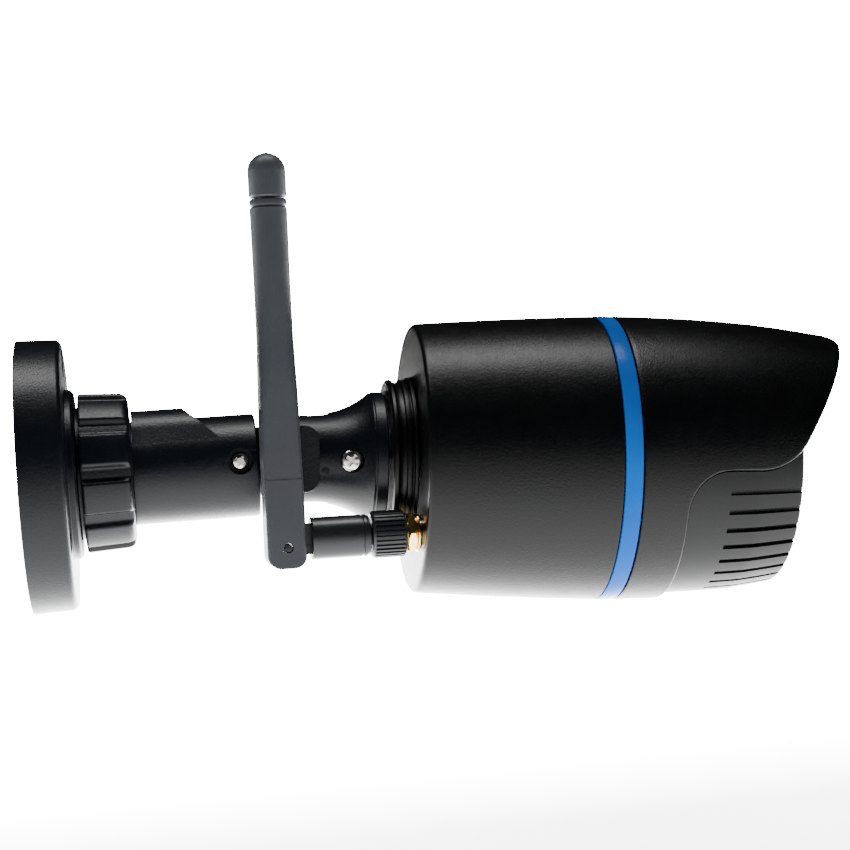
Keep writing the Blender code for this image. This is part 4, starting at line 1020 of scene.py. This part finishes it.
def make_led_ring():
    board = [(95.0, 9.2, 0.1), (95.0, 23.5, 0.1), (96.6, 23.5, 0.1), (96.6, 9.2, 0.1)]
    new_piece("led_ring_board", turned(board, 160), BODY, "camera", "board", "led_board", finish=LED_BOARD)
    for place in range(LED_PLACES):
        angle = 2.0 * math.pi * place / LED_PLACES - math.pi / 2.0
        at = BODY @ shifted(0.0, LED_CIRCLE_R * math.cos(angle), LED_CIRCLE_R * math.sin(angle))
        if place == 0:
            cell = [(96.9, 0.0), (96.9, 2.5, 0.1), (99.4, 2.5, 0.3), (99.4, 2.1, 0.1), (99.2, 2.0, 0.1),
                    (99.2, 0.0)]
            new_piece("photocell_disc", turned(cell, 48), at, "camera", "led_lens", "photocell")
            continue
        dome = [(96.9, 0.0), (96.9, 2.9, 0.1), (97.9, 2.9, 0.15), (97.9, 2.5, 0.1), (99.9, 2.5, 0.0)]
        dome += [(99.9 + 2.5 * math.sin(t), 2.5 * math.cos(t), 0.0) for t in samples(0.1, math.pi / 2.0, 14)]
        new_piece(f"ir_emitter_{place:02d}", turned(dome, 48), at, "camera", "led_lens",
                  f"ir_led_{place:02d}")


# ---------------------------------------------------------------- antenna
def hex_bar(across_flats, low, high, chamfer):
    """A hexagonal bar along X with turned chamfers at its ends."""
    corner = across_flats / math.sqrt(3.0)
    outline = [(corner * math.cos(math.radians(a)), corner * math.sin(math.radians(a)))
               for a in range(0, 360, 60)]
    bar = moved(slab(outline, low, high), X_TO_NEAR)
    reach = corner + 0.05
    ends = turned([(low, 0.0), (low, across_flats / 2.0 - 0.05, 0.0), (low + chamfer, reach, 0.0),
                   (high - chamfer, reach, 0.0), (high, across_flats / 2.0 - 0.05, 0.0), (high, 0.0)], 96)
    return carve(bar, (KEEP, ends))


def make_jack():
    hexagon = hex_bar(8.0, -3.3, -1.5, 0.5)
    shank = turned([(-2.0, 0.0), (-2.0, 3.0), (6.0, 3.0), (6.0, 0.0)], 64)
    barrel = [(-8.9, 2.0, 0.1), (-8.9, 2.9, 0.1)]
    barrel += [(x, 3.1 - 0.22 * abs(math.sin(math.pi * x / 0.7)), 0.0) for x in samples(-8.7, -4.4, 74)]
    barrel += [(-4.2, 2.8, 0.0), (-2.6, 2.8, 0.0), (-2.6, 2.0, 0.0)]
    core = turned([(-4.5, 0.0), (-4.5, 2.2), (-2.4, 2.2), (-2.4, 0.0)], 64)
    collar = turned([(-1.7, 0.0), (-1.7, 3.95), (-1.25, 3.95, 0.2), (-1.25, 0.0)], 96)
    body = carve(hexagon, (JOIN, shank), (JOIN, turned(barrel, 96)), (JOIN, core), (JOIN, collar))
    piece = new_piece("jack_body", body, JACK, "camera", "gold", "antenna_jack", 28.0)
    bevelled(piece, 0.08, 40.0, 2)
    washer = turned([(-1.2, 3.3, 0.1), (-1.2, 4.3, 0.2), (-0.65, 4.3, 0.2), (-0.65, 3.3, 0.1)], 96)
    new_piece("jack_collar", washer, JACK, "camera", "gold", "jack_washer")


KNURLS = 30


def nut_knurl(x, r, angle):
    """Straight knurling on the coupling nut: narrow dark cuts between round-topped teeth."""
    if r < 4.7 or not -10.55 < x < -4.0:
        return r
    place = abs(angle * KNURLS / (2.0 * math.pi) % 1.0 - 0.5) * 2.0
    cut_depth = 0.5 * smooth_step((place - 0.45) / 0.3)
    run_out = min(1.0, (x + 10.55) / 0.3, (-4.0 - x) / 0.3)
    return r - cut_depth * smooth_step(run_out)


def make_coupling_nut():
    outline = [(-11.0, 2.65, 0.1), (-11.0, 4.55, 0.2), (-10.6, 4.95, 0.15), (-10.5, 5.05, 0.0)]
    outline += [(x, 5.05, 0.0) for x in samples(-10.4, -4.15, 24)]
    outline += [(-4.0, 4.95, 0.1), (-3.6, 4.5, 0.2), (-3.6, 3.45, 0.15), (-10.0, 3.45, 0.1),
                (-10.0, 2.65, 0.1)]
    new_piece("knurled_nut", turned(outline, KNURLS * 14, nut_knurl), JACK, "coupling_nut",
              "antenna_plastic", "coupling_nut", finish=AERIAL_DARK)


PIN_X = -29.1
PIN_Z = -1.5


def make_antenna_elbow():
    outline = [(-23.9, 0.0), (-23.9, 4.5, 0.35), (-13.1, 4.5, 0.08), (-13.0, 4.28, 0.05),
               (-12.75, 4.28, 0.05), (-12.65, 4.5, 0.08), (-12.0, 4.5, 0.25), (-12.0, 4.3, 0.1),
               (-11.3, 4.2, 0.3), (-11.3, 2.3, 0.1), (-9.65, 2.3, 0.1), (-9.65, 3.1, 0.15),
               (-9.2, 3.1, 0.15), (-9.2, 0.45, 0.0), (-6.6, 0.45, 0.1), (-6.6, 0.0)]
    reach = arc(PIN_X, PIN_Z, 2.2, 100, 260, 24) + [(-26.2, -3.2), (-23.0, -3.2), (-23.0, 3.2), (-26.2, 3.2)]
    step = slab([(-27.5, -1.3), (-24.0, -1.3), (-24.0, -1.05), (-27.5, -1.05)], -5.0, -1.7)
    top_step = slab([(-27.5, 1.15), (-24.0, 1.15), (-24.0, 3.4), (-27.5, 3.4)], -5.0, -1.8)
    hole = moved(rod_across(1.1, -8.0, 8.0, 32), shifted(PIN_X, 0.0, PIN_Z))
    body = carve(turned(outline, 144), (JOIN, slab(reach, -2.0, 2.0)), (CUT, hole),
                 (CUT, step), (CUT, top_step))
    piece = new_piece("antenna_knuckle", body, JACK, "antenna_elbow", "antenna_plastic",
                      "antenna_elbow", 25.0, AERIAL_DARK)
    even_normals(piece)
    pin = turned([(-4.0, 0.0), (-4.0, 0.85, 0.15), (4.0, 0.85, 0.15), (4.0, 0.0)], 48)
    moved(pin, X_TO_FAR)
    new_piece("hinge_pin", pin, PIN, "antenna_elbow", "antenna_plastic", "antenna_pin", finish=AERIAL_DARK)


PADDLE_BOTTOM = -4.35
PADDLE_TOP = 73.7
PADDLE_TIP = 83.6
PADDLE_CENTRE = -0.25
PADDLE_STATIONS = ((PADDLE_BOTTOM, 4.2, 4.1, 1.1), (14.35, 4.13, 4.08, 1.1), (14.55, 4.12, 3.96, 1.1),
                   (20.0, 4.1, 3.96, 1.2), (32.0, 4.05, 3.9, 1.7), (44.0, 3.85, 3.85, 3.0),
                   (56.0, 3.9, 3.9, 3.85), (PADDLE_TOP, 4.0, 4.0, 4.0))


def paddle_section(height):
    """Half width, half thickness and corner radius of the paddle at a height above its pin."""
    for low, high in zip(PADDLE_STATIONS, PADDLE_STATIONS[1:]):
        if height <= high[0]:
            t = (height - low[0]) / (high[0] - low[0])
            return [a + (b - a) * t for a, b in zip(low[1:], high[1:])]
    return PADDLE_STATIONS[-1][1:]


def make_paddle():
    """A loft from a soft-cornered bar at the hinge to a round rod, with a V groove below its top."""
    heights = samples(PADDLE_BOTTOM, 14.3, 24) + samples(14.35, 14.55, 2) + samples(15.0, 71.6, 72)
    heights += [71.75, 72.1, 72.45, 72.6, 73.3, 73.55, PADDLE_TOP]
    pinch = {72.1: 0.4, 73.55: 0.1, PADDLE_TOP: 0.3}
    bm = bmesh.new()
    rings = []
    for height in heights:
        half_x, half_y, radius = paddle_section(height)
        half_x -= pinch.get(height, 0.0)
        half_y -= pinch.get(height, 0.0)
        radius = min(radius, half_x - 0.001, half_y - 0.001)
        outline = rounded_rectangle(2.0 * half_x, 2.0 * half_y, radius, 14)
        rings.append([bm.verts.new(((x + PADDLE_CENTRE) * MM, y * MM, height * MM)) for x, y in outline])
    for low, high in zip(rings, rings[1:]):
        join_rings(bm, low, high)
    bm.faces.new(list(reversed(rings[0])))
    bm.faces.new(rings[-1])
    bmesh.ops.recalc_face_normals(bm, faces=bm.faces)
    front = PADDLE_CENTRE + 4.2
    back = PADDLE_CENTRE - 4.2
    foot = 2.9
    foot_side = arc(front - foot, PADDLE_BOTTOM + foot, foot, 0, -90, 16)
    foot_side += arc(back + foot, PADDLE_BOTTOM + foot, foot, -90, -180, 16)
    foot_side += [(back - 1.0, 10.0), (back - 1.0, 90.0), (front + 1.0, 90.0), (front + 1.0, 10.0)]
    bore = turned([(8.0, 0.0), (8.0, 2.8), (90.0, 2.8), (90.0, 0.0)], 48, default=0.0)
    moved(bore, shifted(PADDLE_CENTRE) @ X_TO_TOP)
    body = carve(bm, (KEEP, slab(foot_side, -9.0, 9.0)),
                 (CUT, block((-2.9, -2.3, -8.0), (8.0, 2.3, 5.3))), (CUT, bore),
                 (CUT, rod_across(1.05, -9.0, 9.0, 40)))
    piece = new_piece("paddle_moulding", body, PIN, "antenna_paddle", "antenna_plastic",
                      "antenna_paddle", 28.0)
    even_normals(piece)
    tip = [(PADDLE_TOP - 5.0, 0.0), (PADDLE_TOP - 5.0, 2.4, 0.2), (74.0, 2.4, 0.0), (74.0, 3.7, 0.1),
           (74.35, 4.03, 0.1), (79.5, 4.05, 0.0)]
    tip += [(79.5 + 4.0 * math.sin(t), 4.05 * math.cos(t), 0.0) for t in samples(0.05, 1.42, 18)]
    tip += [(83.55, 0.5, 0.0), (PADDLE_TIP, 0.42, 0.03), (PADDLE_TIP, 0.0)]
    cap = moved(turned(tip, 120), shifted(PADDLE_CENTRE) @ X_TO_TOP)
    new_piece("paddle_tip", cap, PIN, "antenna_paddle", "antenna_plastic", "antenna_tip")


make_camera()
make_tent()
make_floor()
make_softbox()
for node_name, node in frame["nodes"].items():
    slot_name = next(part["material_slot"] for part in frame["record"]["subparts"]
                     if part["node"] == node_name)
    dress(node, SLOT_FINISH[slot_name])
make_wall_plate()
make_lock_ring()
make_lower_arm()
make_upper_arm()
make_elbow_cap()
make_neck_boot()
make_rear_housing()
make_trim_ring()
make_hood()
make_chin()
make_front_face()
make_led_ring()
make_jack()
make_coupling_nut()
make_antenna_elbow()
make_paddle()
